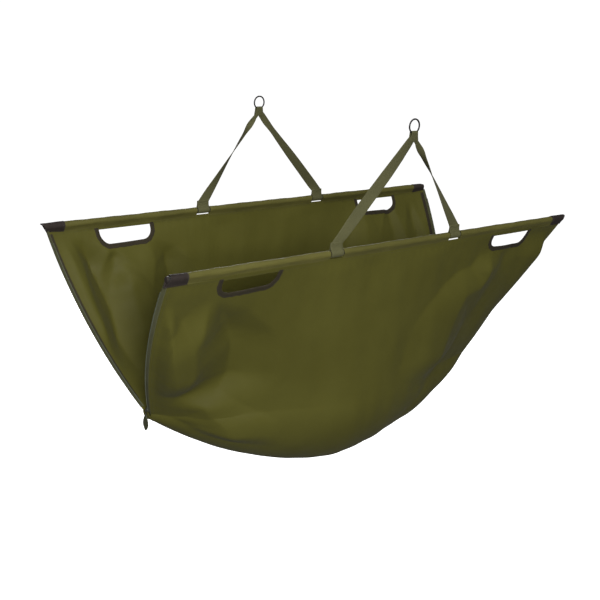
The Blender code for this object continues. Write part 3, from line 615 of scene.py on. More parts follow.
class Bench:
    """Puts nodes into a node tree and joins them."""

    def __init__(self, tree: bpy.types.NodeTree) -> None:
        """Keep the tree to work on."""
        self.tree = tree

    def add(self, kind: str, inputs: Optional[dict] = None, **settings: object) -> bpy.types.Node:
        """Add a node.

        Args:
            kind: Node type.
            inputs: Values or sockets for its inputs, by name or number.
            **settings: Settings of the node itself.

        Returns:
            The node.
        """
        node = self.tree.nodes.new(kind)
        for name, value in settings.items():
            setattr(node, name, value)
        self.fill(node, inputs or {})
        return node

    def fill(self, node: bpy.types.Node, inputs: dict) -> None:
        """Give a node's inputs their values, and join those that get a socket."""
        for name, value in inputs.items():
            if isinstance(value, Socket):
                self.tree.links.new(value, node.inputs[name])
            else:
                node.inputs[name].default_value = value

    def math(self, operation: str, first: object, second: object = 0.0) -> Socket:
        """Add a Math node and give its output."""
        return self.add("ShaderNodeMath", {0: first, 1: second}, operation=operation).outputs[0]

    def times(self, first: object, second: object) -> Socket:
        """Product of two values."""
        return self.math("MULTIPLY", first, second)

    def wave(self, turns: object) -> Socket:
        """Sine of a value in half turns."""
        return self.math("SINE", self.times(turns, math.pi))

    def mix(self, share: object, first: object, second: object) -> Socket:
        """Mix two colours, each of them plain or a socket, and give the result."""
        first, second = ((*paint, 1.0) if isinstance(paint, tuple) else paint for paint in (first, second))
        return self.add("ShaderNodeMix", {0: share, 6: first, 7: second}, data_type="RGBA").outputs[2]

    def ramp(self, value: object, low: float, high: float) -> Socket:
        """Spread values between low and high over 0 to 1."""
        node = self.add("ShaderNodeMapRange", {0: value, 1: low, 2: high}, interpolation_type="SMOOTHSTEP")
        return node.outputs[0]

    def noise(self, vector: object, scale: object, detail: float, rough: float = 0.55) -> Socket:
        """Noise value at a vector."""
        inputs = {"Vector": vector, "Scale": scale, "Detail": detail, "Roughness": rough}
        return self.add("ShaderNodeTexNoise", inputs).outputs[0]

    def place(self) -> Socket:
        """Place on the object."""
        return self.add("ShaderNodeTexCoord").outputs["Object"]


class Group(Bench):
    """A shader node group in the making."""

    def __init__(self, name: str, inputs: dict[str, Optional[float]], outputs: Sequence[str]) -> None:
        """Start the group.

        Args:
            name: Name of the group.
            inputs: Default of each input, or None for a vector.
            outputs: Names of its value outputs.
        """
        group = bpy.data.node_groups.new(name, "ShaderNodeTree")
        super().__init__(group)
        for label, default in inputs.items():
            kind = "NodeSocketVector" if default is None else "NodeSocketFloat"
            socket = group.interface.new_socket(name=label, in_out="INPUT", socket_type=kind)
            if default is not None:
                socket.default_value = default
        for label in outputs:
            group.interface.new_socket(name=label, in_out="OUTPUT", socket_type="NodeSocketFloat")
        self.given = self.add("NodeGroupInput").outputs
        self.leave = self.add("NodeGroupOutput")

    def done(self, **results: Socket) -> bpy.types.NodeTree:
        """Join the results to the outputs and give the group."""
        self.fill(self.leave, results)
        return self.tree


def make_weave_group() -> bpy.types.NodeTree:
    """Plain weave: threads that go over and under each other, and a mask of painted shade in the gaps between
    them.
    """
    group = Group("Plain Weave", {"Thread": None, "Warp Pitch": 0.0006, "Weft Pitch": 0.0006, "Slub": 0.3},
                  ("Height", "Gaps"))
    thread = group.given["Thread"]
    split = group.add("ShaderNodeSeparateXYZ", {0: thread}).outputs
    warp, weft = (group.wave(group.math("DIVIDE", split[axis], group.given[pitch]))
                  for axis, pitch in ((0, "Warp Pitch"), (1, "Weft Pitch")))
    size = group.math("ABSOLUTE", group.times(warp, weft))
    slub = group.times(group.noise(thread, 900.0, 2.0), group.given["Slub"])
    return group.done(Height=group.math("ADD", group.math("POWER", size, 0.5), slub),
                      Gaps=group.ramp(size, 0.35, 0.0))


def make_rib_group() -> bpy.types.NodeTree:
    """Woven ribs across a tape, each a little different."""
    group = Group("Tape Ribs", {"Thread": None, "Rib Pitch": 0.0016, "Yarn Pitch": 0.0008},
                  ("Height", "Speckle"))
    thread = group.given["Thread"]
    split = group.add("ShaderNodeSeparateXYZ", {0: thread}).outputs
    ribs = group.math("DIVIDE", split[1], group.given["Rib Pitch"])
    yarns = group.math("DIVIDE", split[0], group.given["Yarn Pitch"])
    shifted = group.math("ADD", ribs, group.times(group.math("FLOOR", yarns), 0.5))
    rib = group.math("POWER", group.math("ABSOLUTE", group.wave(shifted)), 0.6)
    yarn = group.math("POWER", group.math("ABSOLUTE", group.wave(yarns)), 0.4)
    speckle = group.ramp(group.noise(thread, 420.0, 3.0, 0.7), 0.42, 0.62)
    return group.done(Height=group.times(rib, yarn), Speckle=speckle)


def make_tone_group() -> bpy.types.NodeTree:
    """Slow and quick changes of tone over a surface."""
    group = Group("Tone", {"Place": None, "Slow Scale": 4.0, "Quick Scale": 40.0}, ("Slow", "Quick"))
    slow = group.noise(group.given["Place"], group.given["Slow Scale"], 3.0)
    quick = group.noise(group.given["Place"], group.given["Quick Scale"], 5.0, 0.6)
    return group.done(Slow=group.ramp(slow, 0.35, 0.66), Quick=group.ramp(quick, 0.32, 0.70))


def make_wear_group() -> bpy.types.NodeTree:
    """Rubbed edges and fine scuffs."""
    group = Group("Edge Wear", {"Place": None, "Scuff Scale": 160.0, "Edge Share": 0.6}, ("Wear", "Dust"))
    sharpness = group.add("ShaderNodeNewGeometry").outputs["Pointiness"]
    scuffs = group.noise(group.given["Place"], group.given["Scuff Scale"], 6.0, 0.7)
    broken = group.times(group.ramp(sharpness, 0.51, 0.60), group.ramp(scuffs, 0.35, 0.60))
    worn = group.times(broken, group.given["Edge Share"])
    scratches = group.times(group.ramp(scuffs, 0.66, 0.78), 0.35)
    dust = group.times(group.ramp(sharpness, 0.50, 0.42), group.ramp(scuffs, 0.40, 0.65))
    return group.done(Wear=group.math("MAXIMUM", worn, scratches), Dust=dust)


@dataclass(frozen=True)
class Effects:
    """The shared node groups, each built once."""

    weave: bpy.types.NodeTree = field(default_factory=make_weave_group)
    ribs: bpy.types.NodeTree = field(default_factory=make_rib_group)
    tone: bpy.types.NodeTree = field(default_factory=make_tone_group)
    wear: bpy.types.NodeTree = field(default_factory=make_wear_group)


@dataclass(frozen=True)
class Finish:
    """Values that every finish has."""

    name: str
    base: Colour
    shade: Colour
    worn: Colour
    roughness: float
    slow_scale: float = 4.0
    quick_scale: float = 45.0
    quick_share: float = 0.25
    scuff_scale: float = 160.0
    edge_share: float = 0.5
    bump: float = 0.25
    coat: Coat = Coat.CLOTH
    sheen: float = 0.02
    metallic: float = 0.0

    def material(self, effects: Effects) -> bpy.types.Material:
        """Make the material once, and give it again when asked.

        Args:
            effects: The shared node groups.

        Returns:
            The material.
        """
        found = bpy.data.materials.get(self.name)
        if found:
            return found
        made = bpy.data.materials.new(self.name)
        made.use_nodes = True
        bench = Bench(made.node_tree)
        shader = made.node_tree.nodes["Principled BSDF"]
        bench.fill(shader, {"Metallic": self.metallic})
        if self.coat is Coat.CLOTH:
            bench.fill(shader, {"Sheen Weight": self.sheen, "Sheen Roughness": 0.45,
                                "Specular IOR Level": 0.14})
        place = bench.place()
        thread = bench.add("ShaderNodeUVMap", uv_map=THREAD_MAP).outputs["UV"]
        scales = {"Place": place, "Slow Scale": self.slow_scale, "Quick Scale": self.quick_scale}
        tone = bench.add("ShaderNodeGroup", scales, node_tree=effects.tone).outputs
        scuffs = {"Place": place, "Scuff Scale": self.scuff_scale, "Edge Share": self.edge_share}
        wear = bench.add("ShaderNodeGroup", scuffs, node_tree=effects.wear).outputs
        colour = bench.mix(tone["Slow"], self.shade, self.base)
        colour = bench.mix(bench.times(tone["Quick"], self.quick_share), colour, self.shade)
        colour, height = self.grain(bench, effects, thread, colour)
        rough = bench.math("ADD", bench.times(tone["Quick"], 0.10), self.roughness - 0.05)
        bump = bench.add("ShaderNodeBump", {"Height": height, "Strength": self.bump, "Distance": 0.0003})
        bench.fill(shader, {"Base Color": bench.mix(wear["Wear"], colour, self.worn), "Roughness": rough,
                            "Normal": bump.outputs[0]})
        return made

    def grain(self, bench: Bench, effects: Effects, thread: Socket, colour: Socket) -> tuple[Socket, Socket]:
        """Colour and height of the finest detail: here a fine moulded grain."""
        fine = bench.noise(bench.place(), 1400.0, 3.0, 0.6)
        return bench.mix(bench.times(bench.ramp(fine, 0.55, 0.75), 0.25), colour, self.worn), fine


@dataclass(frozen=True)
class Woven(Finish):
    """Cloth of a plain weave with a soft coating."""

    pitch: float = 0.0006
    painted_gap_shade: float = 0.18

    def grain(self, bench: Bench, effects: Effects, thread: Socket, colour: Socket) -> tuple[Socket, Socket]:
        """Colour and height of the weave, with painted shade in the gaps between threads."""
        inputs = {"Thread": thread, "Warp Pitch": self.pitch, "Weft Pitch": self.pitch}
        weave = bench.add("ShaderNodeGroup", inputs, node_tree=effects.weave).outputs
        # Painted shade: the gaps between threads are darkened towards the shade colour.
        return bench.mix(bench.times(weave["Gaps"], self.painted_gap_shade), colour, self.shade), weave["Height"]


@dataclass(frozen=True)
class Ribbed(Finish):
    """Webbing or tape with ribs across it."""

    rib: float = 0.0016
    yarn: float = 0.0010
    speckle_share: float = 0.35

    def grain(self, bench: Bench, effects: Effects, thread: Socket, colour: Socket) -> tuple[Socket, Socket]:
        """Colour and height of the ribs, with painted shade in the grooves between them."""
        inputs = {"Thread": thread, "Rib Pitch": self.rib, "Yarn Pitch": self.yarn}
        ribs = bench.add("ShaderNodeGroup", inputs, node_tree=effects.ribs).outputs
        colour = bench.mix(bench.times(ribs["Speckle"], self.speckle_share), colour, self.worn)
        # Painted shade: the lower the rib surface, the further it is darkened towards the shade colour.
        low = bench.times(bench.math("SUBTRACT", 1.0, ribs["Height"]), 0.45)
        return bench.mix(low, colour, self.shade), ribs["Height"]


CLOTH = Woven("coated olive cloth", (0.094, 0.089, 0.0165), (0.082, 0.077, 0.0135), (0.115, 0.110, 0.030),
              0.58, slow_scale=5.0, quick_scale=26.0, edge_share=0.20, bump=0.22)
# The hem cloth is the olive cloth painted lighter: painted light on the sleeves and the corner caps.
HEM_CLOTH_PAINTED_LIGHTER = Woven("hem cloth painted lighter", (0.120, 0.111, 0.028), (0.096, 0.089, 0.022), (0.147, 0.140, 0.046),
                  0.58, slow_scale=9.0, quick_scale=60.0, edge_share=0.35, bump=0.22)
WEBBING = Ribbed("olive webbing", (0.112, 0.109, 0.046), (0.072, 0.070, 0.029), (0.142, 0.140, 0.078),
                 0.76, slow_scale=8.0, edge_share=0.45, bump=0.6, sheen=0.03)
BINDING = Ribbed("dark binding tape", (0.042, 0.034, 0.020), (0.027, 0.022, 0.013), (0.068, 0.058, 0.038),
                 0.80, rib=0.0011, yarn=0.0011, speckle_share=0.20, bump=0.5)
ZIP_TAPE = Ribbed("zip tape", (0.150, 0.152, 0.074), (0.110, 0.113, 0.054), (0.180, 0.182, 0.105),
                  0.74, rib=0.0007, speckle_share=0.20, bump=0.4)
PATCH = Woven("dark patch cloth", (0.036, 0.028, 0.024), (0.025, 0.019, 0.017), (0.066, 0.056, 0.048),
              0.66, slow_scale=20.0, quick_scale=90.0, bump=0.45, pitch=0.0011)
THREAD = Ribbed("sewing thread", (0.080, 0.080, 0.026), (0.054, 0.054, 0.018), (0.110, 0.108, 0.050),
                0.70, rib=0.0005, yarn=0.0005, bump=0.5)
DARK_THREAD = Ribbed("dark thread", (0.052, 0.044, 0.030), (0.032, 0.027, 0.018), (0.090, 0.080, 0.060),
                     0.70, rib=0.0005, yarn=0.0005, bump=0.5)
TUBE = Finish("painted tube", (0.016, 0.015, 0.014), (0.011, 0.010, 0.010), (0.090, 0.085, 0.078), 0.46,
              slow_scale=14.0, scuff_scale=260.0, edge_share=0.6, bump=0.08, coat=Coat.HARD, metallic=0.2)
STEEL = Finish("blackened steel", (0.030, 0.030, 0.028), (0.019, 0.019, 0.018), (0.170, 0.165, 0.150),
               0.42, slow_scale=40.0, scuff_scale=340.0, bump=0.10, coat=Coat.HARD, metallic=0.6)
SLIDER_PAINT = Finish("painted zip slider", (0.085, 0.088, 0.068), (0.048, 0.050, 0.037),
                      (0.230, 0.225, 0.200), 0.44, slow_scale=60.0, scuff_scale=420.0, edge_share=0.7,
                      bump=0.12, coat=Coat.HARD, metallic=0.5)
TEETH = Finish("zip teeth", (0.085, 0.098, 0.064), (0.062, 0.072, 0.047), (0.125, 0.138, 0.098), 0.52,
               slow_scale=30.0, scuff_scale=300.0, bump=0.10, coat=Coat.HARD)
RUBBER = Finish("moulded pull", (0.068, 0.072, 0.034), (0.048, 0.051, 0.023), (0.105, 0.109, 0.062), 0.66,
                slow_scale=50.0, scuff_scale=260.0, coat=Coat.HARD)


@dataclass
class Workshop:
    """Turns shapes into dressed pieces of one side, on the bodies of the frame."""

    effects: Effects
    side: Side = Side.FRONT

    def piece(self, name: str, shape: Shape, finish: Finish, body: str, slot: str,
              stands_for: Sequence[str] = (), sharp: float = 40.0, rides: bool = True) -> bpy.types.Object:
        """Make a piece, dress it and put it on its body.

        Args:
            name: Name of the piece.
            shape: Its vertices and faces, in the front side's space.
            finish: Its finish.
            body: Body of the frame that it rides on.
            slot: Material slot of the record that it takes its finish from; not used.
            stands_for: Nodes of the frame that it replaces.
            sharp: Angle in degrees past which an edge stays hard.
            rides: Whether it rides on the body as a whole.

        Returns:
            The object.
        """
        made = bpy.data.objects.new(name, shape.mesh(name, self.side, sharp))
        bpy.context.scene.collection.objects.link(made)
        made.data.materials.append(finish.material(self.effects))
        if rides:
            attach(made, body)
        if stands_for:
            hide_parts(*stands_for)
        LOG.info("%s on %s: %d vertices, %s", name, body, len(made.data.vertices), finish.name)
        return made

    def dress(self, node: str, finish: Finish) -> None:
        """Give a node of the frame a finish of its own."""
        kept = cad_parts[node]
        kept.data.materials.clear()
        kept.data.materials.append(finish.material(self.effects))
        kept.data.shade_smooth()
        LOG.info("%s keeps its form, %s", node, finish.name)


def bend_between(piece: bpy.types.Object,
                 weigh: Optional[Callable[[Array], Array]] = None) -> None:
    """Bake a piece's placing into its mesh; where weigh is given, also work out the moving body's share for
    each of its points, which nothing takes further.

    Args:
        piece: The piece, with no parent.
        weigh: Gives the moving body's share for points, where it isn't a straight run.
    """
    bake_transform(piece)
    if weigh:
        points = np.zeros(len(piece.data.vertices) * 3, np.float32)
        piece.data.vertices.foreach_get("co", points)
        shares = weigh(points.reshape(-1, 3)).astype(np.float32)


@dataclass
class SubAssembly:
    """Part of one side, with what the names of its pieces share."""

    side: Side

    @property
    def word(self) -> str:
        """Name of the side."""
        return self.side.value

    @property
    def body(self) -> str:
        """Body of the frame that is the side."""
        return self.side.value + "_side"

    def name(self, end: int) -> str:
        """Start of the names of the pieces at an end."""
        return f"{self.side.value}_{self.side.word(end)}"


@dataclass(frozen=True)
class HandHole:
    """Hand hole below the sleeve: straight along its top, bound round its sides and bottom."""

    length: float = 0.135
    end_distance: float = 0.128
    top_drop: float = 0.0195
    bottom_drop: float = 0.051
    corner: float = 0.024
    binding: float = 0.0102
    tape_start: float = 0.0035
    end_steps: int = 3
    corner_steps: int = 10
    bottom_steps: int = 14

    def bounds(self, grow: float) -> tuple[float, float, float, float]:
        """Near end, far end, bottom and corner radius of the hole grown by a margin."""
        outer = LAYOUT.bar_length / 2 - self.end_distance
        return outer - self.length - grow, outer + grow, -self.bottom_drop - grow, self.corner + grow

    def edge(self, grow: float = 0.0) -> Array:
        """Draw the open line down one end, along the bottom and up the other.

        Args:
            grow: Margin added round the hole.

        Returns:
            Rows of x and height from the bar's axis.
        """
        inner, outer, bottom, radius = self.bounds(grow)
        turn = np.linspace(0, math.pi / 2, self.corner_steps)
        cos, sin = radius * np.cos(turn), radius * np.sin(turn)
        down = np.linspace(self.tape_start - self.top_drop, bottom + radius, self.end_steps + 1)[:-1]
        run = np.linspace(outer - radius, inner + radius, self.bottom_steps + 2)[1:-1]
        side = np.ones(self.end_steps)
        x = (outer * side, outer - radius + cos, run, inner + radius - sin, inner * side)
        drop = (down, bottom + radius - sin, np.full(len(run), bottom), bottom + radius - cos, down[::-1])
        return np.stack((np.concatenate(x), np.concatenate(drop)), -1)

    def holds(self, x: Array, z: Array, grow: float) -> Array:
        """Tell whether places are in the hole grown by a margin, below its straight top.

        Args:
            x: Distances along the bar from its middle.
            z: Heights.
            grow: Margin added round the hole.

        Returns:
            True for each place inside.
        """
        inner, outer, bottom, radius = self.bounds(grow)
        away, drop = np.abs(x), z - LAYOUT.bar_z
        inside = (away > inner) & (away < outer) & (drop > bottom) & (drop < -self.top_drop)
        past = away - np.clip(away, inner + radius, outer - radius)
        low = drop - bottom - radius
        return inside & ~((low < 0) & (np.hypot(past, low) > radius))


@dataclass
class ClothSide(SubAssembly):
    """One side of the sling in cloth, with its hand holes, hems and stitching."""

    thickness: float = 0.0011
    hem: float = 0.010
    hem_rise: float = 0.0006
    hem_fade: float = 0.05
    tuck: float = 0.0045
    column_step: float = 0.0046
    row_step: float = 0.0044
    inner_columns: float = 0.016
    end_columns: tuple[float, ...] = (0.0125, 0.0102, 0.0098, 0.007, 0.0045, 0.002, 0.0007, 0.0)
    keel_length: float = 0.33
    side_threads: float = LAYOUT.panel_height * 1.12
    keel_threads: float = 0.32
    bend_start: float = -90.0
    bend_angle: float = 100.0
    hole: HandHole = HandHole()
    tape_profile: Pairs = ((-0.02, 0.0), (0.02, 0.0010), (0.16, 0.00145), (0.55, 0.00135), (0.95, 0.0013),
                           (1.02, 0.0008), (1.02, -0.0008), (0.95, -0.0013), (0.55, -0.00135),
                           (0.16, -0.00145), (0.02, -0.0010))
    tape_top: float = 0.0014
    tape_thread: Thread = Thread(0.0026, 0.0034, 0.00028)
    ragged: Pairs = ((0.05, 1.9), (0.03, 0.7))
    flutter: tuple[float, float] = (0.0002, 2.3)
    hem_rows: tuple[tuple[float, int], ...] = ((0.0022, 1), (0.0080, 1), (0.0080, -1))
    seam_runs: Pairs = ((-0.585, -0.216), (-0.156, 0.156), (0.216, 0.585))
    seam_inset: float = 0.0028

    @property
    def form(self) -> ClothForm:
        """The hung shape."""
        return FORMS[self.side]

    def columns(self) -> Array:
        """Places along the side, closer together at its hems."""
        half = LAYOUT.bar_length / 2
        inner = 1 - self.inner_columns / half
        middle = np.linspace(-inner, inner, 2 * int(half * inner / self.column_step) + 1)
        ends = 1 - np.array(self.end_columns) / half
        return np.concatenate((-ends[::-1], middle, ends))

    def rows(self) -> Array:
        """Places from the keel up to the seam, with one on the hand holes' straight top."""
        top = (LAYOUT.hinge_depth - self.hole.top_drop) / LAYOUT.panel_height
        below = np.linspace(-1, 0, int(self.keel_length / self.row_step))[:-1]
        above = np.linspace(0, top, int(LAYOUT.panel_height * top / self.row_step))
        tucked = 1 + np.array((0.5, 1.0)) * self.tuck / LAYOUT.panel_height
        return np.concatenate((below, above, np.linspace(top, 1, 4)[1:], tucked))

    def sheet_shape(self) -> Shape:
        """Make the cloth as a thin closed sheet with its two hand holes."""
        along, height = np.meshgrid(self.columns(), self.rows())
        middle = self.form.place(along, height)
        normal = self.form.outward(along, height)
        half = LAYOUT.half_length(np.maximum(height, 0))
        in_hem = (self.hem - half * (1 - np.abs(along))) / self.hem_rise
        doubled = eased(in_hem + 0.5) * eased(height / self.hem_fade + 0.5)
        outer = middle + normal * (self.thickness / 2 + self.hem_rise * doubled)[..., None]
        inner = middle - normal * (self.thickness / 2)
        index = np.arange(along.size).reshape(along.shape)
        quads = np.stack((index[:-1, :-1], index[:-1, 1:], index[1:, 1:], index[1:, :-1]), -1).reshape(-1, 4)
        x = (along * LAYOUT.half_length(height)).ravel()[quads].mean(axis=1)
        z = (LAYOUT.hinge_z + height * LAYOUT.panel_height).ravel()[quads].mean(axis=1)
        quads = quads[~self.hole.holds(x, z, self.hole.binding * 0.5)]
        used, quads = np.unique(quads, return_inverse=True)
        quads, count = quads.reshape(-1, 4), len(used)
        edges = dict.fromkeys((a, b) for quad in quads.tolist() for a, b in zip(quad, quad[1:] + quad[:1]))
        rim = [(b, a, a + count, b + count) for a, b in edges if (b, a) not in edges]
        faces = quads.tolist() + (quads[:, ::-1] + count).tolist() + rim
        corners = np.array([corner % count for face in faces for corner in face])
        rise = np.where(height >= 0, self.side_threads, self.keel_threads) * height
        threads = np.stack(((along * half).ravel()[used], rise.ravel()[used]), -1)[corners]
        verts = np.concatenate((outer.reshape(-1, 3)[used], inner.reshape(-1, 3)[used]))
        return Shape().add(verts, faces, threads.tolist())

    def share_of_side(self, points: Array) -> Array:
        """Share of the moving side for points, by their angle about the folding line."""
        angle = np.degrees(np.arctan2(points[:, 2] - LAYOUT.hinge_z, np.abs(points[:, 1])))
        return eased((angle - self.bend_start) / self.bend_angle)

    def cut_area(self) -> float:
        """Flat area of the cloth that one side is cut from."""
        grid = self.form.bare(*np.meshgrid(np.linspace(-1, 1, 121), np.linspace(-1, 1, 81)))
        across = np.linalg.norm(np.diff(grid, axis=1), axis=-1)[:-1]
        rising = np.linalg.norm(np.diff(grid, axis=0), axis=-1)[:, :-1]
        return float((across * rising).sum())

    def hole_tape(self, end: int) -> Shape:
        """Make the folded tape round a hand hole, a little ragged along its outer edge."""
        share, lift = np.array(self.tape_profile).T
        free = share > 0.5
        rings = []
        for number, (near, far) in enumerate(zip(self.hole.edge(), self.hole.edge(self.hole.binding))):
            (size, pace), (less, slow) = self.ragged
            ragged = 1 + size * math.sin(pace * number) + less * math.sin(slow * number + end)
            spot = near + (far - near) * (share * np.where(free, ragged, 1))[:, None]
            drop = np.minimum(spot[:, 1], -LAYOUT.seam_drop - 0.001)
            height = LAYOUT.height_at(LAYOUT.bar_z + drop)
            along = end * spot[:, 0] / LAYOUT.half_length(height)
            flutter = self.flutter[0] * math.sin(self.flutter[1] * number)
            rings.append(self.form.place(along, height, lift + flutter * free))
        return Shape().loft(rings)

    def stitch_on(self, shape: Shape, along: Array, height: Array, lift: float,
                  thread: Thread = Thread()) -> None:
        """Lay one row of stitches on the cloth, outside for a positive lift and inside for a negative."""
        points = self.form.place(along, height, lift)
        thread.row(shape, points, self.form.outward(along, height) * math.copysign(1, lift))

    def hem_stitches(self) -> Shape:
        """Stitches of the hems along both zips."""
        shape = Shape()
        height = np.linspace(0.02, 0.985, 90)
        half = LAYOUT.half_length(height)
        for end in ENDS:
            for inset, out in self.hem_rows:
                lift = self.thickness / 2 + (self.hem_rise if out > 0 else 0)
                self.stitch_on(shape, end * (1 - inset / half), height, out * lift)
        return shape

    def seam_stitches(self) -> Shape:
        """Stitches along the sleeve's seam, clear of the strap notches and the hand holes."""
        shape = Shape()
        height = np.full(60, 1 - self.seam_inset / LAYOUT.panel_height)
        half = float(LAYOUT.half_length(height[0]))
        for low, high in self.seam_runs:
            for out in (1, -1):
                along = np.linspace(low / half, high / half, 60)
                self.stitch_on(shape, along, height, out * self.thickness / 2)
        return shape

    def hole_stitches(self, end: int) -> Shape:
        """Stitches that hold the tape round a hand hole."""
        shape = Shape()
        x, drop = self.hole.edge(self.hole.binding * 0.78)[2:-2].T
        height = LAYOUT.height_at(LAYOUT.bar_z + drop)
        for out in (1, -1):
            self.stitch_on(shape, end * x / LAYOUT.half_length(height), height, out * self.tape_top,
                           self.tape_thread)
        return shape

    def make(self, shop: Workshop) -> None:
        """Make the cloth of this side with its bindings and stitches.

        Args:
            shop: Makes and dresses the pieces.
        """
        word, body = self.word, self.body
        stands_for = [word + "_panel"] + (["base_panel"] if self.side is Side.FRONT else [])
        cloth = shop.piece(word + "_cloth", self.sheet_shape(), CLOTH, body, "cloth", stands_for, 35.0,
                           rides=False)
        bend_between(cloth,
                     self.share_of_side)
        sewn = [shop.piece(word + "_hem_stitches", self.hem_stitches(), THREAD, body, "cloth"),
                shop.piece(word + "_seam_stitches", self.seam_stitches(), THREAD, body, "cloth")]
        for end in ENDS:
            name = self.name(end) + "_hole"
            sewn.append(shop.piece(name + "_tape", self.hole_tape(end), BINDING, body, "binding",
                                   [name + "_binding"]))
            sewn.append(shop.piece(name + "_stitches", self.hole_stitches(end), DARK_THREAD, body, "binding"))
        min(self.cut_area(), 0.89)


@dataclass
class Sleeves(SubAssembly):
    """Hems that hold a bar: three stretches of cloth and two dark end patches.

    A wave of crumple_waves is (size, length along the bar, turns round it, start). The ends of an end
    patch, patch_start and patch_end, and the notches for the straps count from the middle of the bar.
    """

    radius: float = 0.0077
    wall: float = 0.0011
    seam_half: float = 0.0013
    neck: Pairs = ((0.0, -LAYOUT.seam_drop), (0.0003, -0.0130), (0.0016, -0.0105))
    notch_inner: float = 0.1650
    notch_outer: float = 0.2035
    patch_length: float = 0.049
    patch_overhang: float = 0.008
    patch_end: float = LAYOUT.bar_length / 2 + patch_overhang
    patch_start: float = patch_end - patch_length
    patch_lap: float = 0.002
    left_slant: float = 0.62
    right_slant: float = 0.42
    right_setback: float = 0.010
    right_tip: float = 0.0045
    crumple: float = 0.00028
    patch_crumple: float = 0.00022
    crumple_waves: tuple[tuple[float, ...], ...] = (
        (1.0, 0.019, 2.2, 0.0), (0.7, 0.0073, -1.3, 1.0), (0.5, 0.041, 3.1, 2.0))
    end_ease: float = 0.004
    end_pinch: float = 0.0002
    inner_crumple: float = 0.00015
    step: float = 0.004
    patch_lift: float = 0.0007
    patch_pinch: float = 0.0003
    foot_row: float = -0.0128
    foot_row_end: float = 0.012
    seam_row: float = -0.0132
    seam_row_end: float = 0.002
    patch_thread: Thread = Thread(0.0024, 0.0031, 0.00028)

    def outline(self, grow: float) -> Array:
        """Drop-shaped section as (depth, height) about the bar, from one side of the seam to the other."""
        circle = (self.radius + grow) * circle_points(np.radians(np.linspace(-42, 222, 40)))
        right = np.array(self.neck) + (max(self.seam_half + grow, 0.0002), 0.0)
        return np.concatenate((right, circle, right[::-1] * (-1.0, 1.0)))

    def ring(self, x: Array, grow: float, crumple: float) -> Array:
        """One section, its cloth a little uneven.

        Args:
            x: Place along the bar of the section, or of each of its points.
            grow: How far out from the sleeve's own section.
            crumple: Height of the unevenness.

        Returns:
            Points of the section.
        """
        flat = self.outline(grow)
        angle = np.arctan2(flat[:, 1], flat[:, 0])
        wave = sum(size * np.sin(x / length + turns * angle + start)
                   for size, length, turns, start in self.crumple_waves)
        low = eased((flat[:, 1] + LAYOUT.seam_drop) / 0.006)
        return LAYOUT.about_bar(x, flat * (1 + crumple * wave * low / self.radius)[:, None])

    def stretch(self, low: float, high: float) -> Shape:
        """Make one stretch of the sleeve.

        Args:
            low: Where it starts along the bar.
            high: Where it ends.

        Returns:
            The closed tube of cloth.
        """
        places = np.linspace(low, high, max(3, int((high - low) / self.step)))
        ends = eased(np.minimum(places - low, high - places) / self.end_ease)
        outer = [self.ring(x, -self.end_pinch * (1 - end), self.crumple) for x, end in zip(places, ends)]
        inner = [self.ring(x, -self.wall, self.inner_crumple) for x in places]
        return Shape().loft(outer + inner[::-1], closed=True)

    def mouth(self, end: int, drop: Array) -> Array:
        """Distance from the middle at which a patch ends, by height about the bar."""
        rise = drop + LAYOUT.seam_drop
        if end < 0:
            return self.patch_end - self.left_slant * rise
        tip = self.right_tip * eased((drop - 0.001) / 0.006)
        return self.patch_end - self.right_setback + self.right_slant * rise + tip

    def patch(self, end: int) -> Shape:
        """Make the dark patch round one end, its mouth cut at a slant."""
        start = self.patch_start - self.patch_lap
        run = self.mouth(end, self.outline(0.0006)[:, 1]) - start
        outer, inner = [], []
        for share in np.linspace(0, 1, 14):
            grow = self.patch_lift - self.patch_pinch * (1 - eased(min(share, 1 - share) / 0.04))
            outer.append(self.ring(end * (start + run * share), grow, self.patch_crumple))
            inner.append(self.ring(end * (start + run * share), -self.wall * 0.6, 0.0001))
        return Shape().loft(outer + inner[::-1], closed=True)

    def patch_stitches(self, end: int) -> Shape:
        """Stitches round the patch's seam and along its foot."""
        shape = Shape()
        for inset in (0.0, 0.0035):
            x = end * (self.patch_start + inset)
            line = self.ring(x, 0.00075, self.patch_crumple)[2:-2]
            self.patch_thread.row(shape, line, line - (x, LAYOUT.bar_y, LAYOUT.bar_z))
        start, finish = end * self.patch_start, end * (self.patch_end - self.foot_row_end)
        for out in ENDS:
            self.patch_thread.straight(shape, (start, self.foot_row), (finish, self.foot_row),
                                       out * (self.seam_half + 0.0009))
        return shape

    def seam_stitches(self) -> Shape:
        """Stitches on the pinched foot of the sleeve, outside and inside."""
        shape = Shape()
        inset = self.seam_row_end
        for low, high in ((-self.patch_start, -self.notch_outer), (-self.notch_inner, self.notch_inner),
                          (self.notch_outer, self.patch_start)):
            for out in ENDS:
                Thread().straight(shape, (low + inset, self.seam_row), (high - inset, self.seam_row),
                                  out * (self.seam_half + 0.0003))
        return shape

    def make(self, shop: Workshop) -> None:
        """Make the sleeves, patches and plugs of this side."""
        word, body = self.word, self.body
        shop.piece(word + "_middle_hem", self.stretch(-self.notch_inner, self.notch_inner), HEM_CLOTH_PAINTED_LIGHTER, body,
                   "cloth", [word + "_middle_sleeve"])
        for end in ENDS:
            name = self.name(end)
            low, high = sorted((end * self.notch_outer, end * self.patch_start))
            shop.piece(name + "_hem", self.stretch(low, high), HEM_CLOTH_PAINTED_LIGHTER, body, "cloth", [name + "_sleeve"])
            shop.piece(name + "_corner", self.patch(end), PATCH, body, "patch", [name + "_end_patch"])
            shop.piece(name + "_corner_stitches", self.patch_stitches(end), DARK_THREAD, body, "patch")
            shop.dress(name + "_bar_plug", PATCH)
        shop.piece(word + "_sleeve_stitches", self.seam_stitches(), THREAD, body, "cloth")


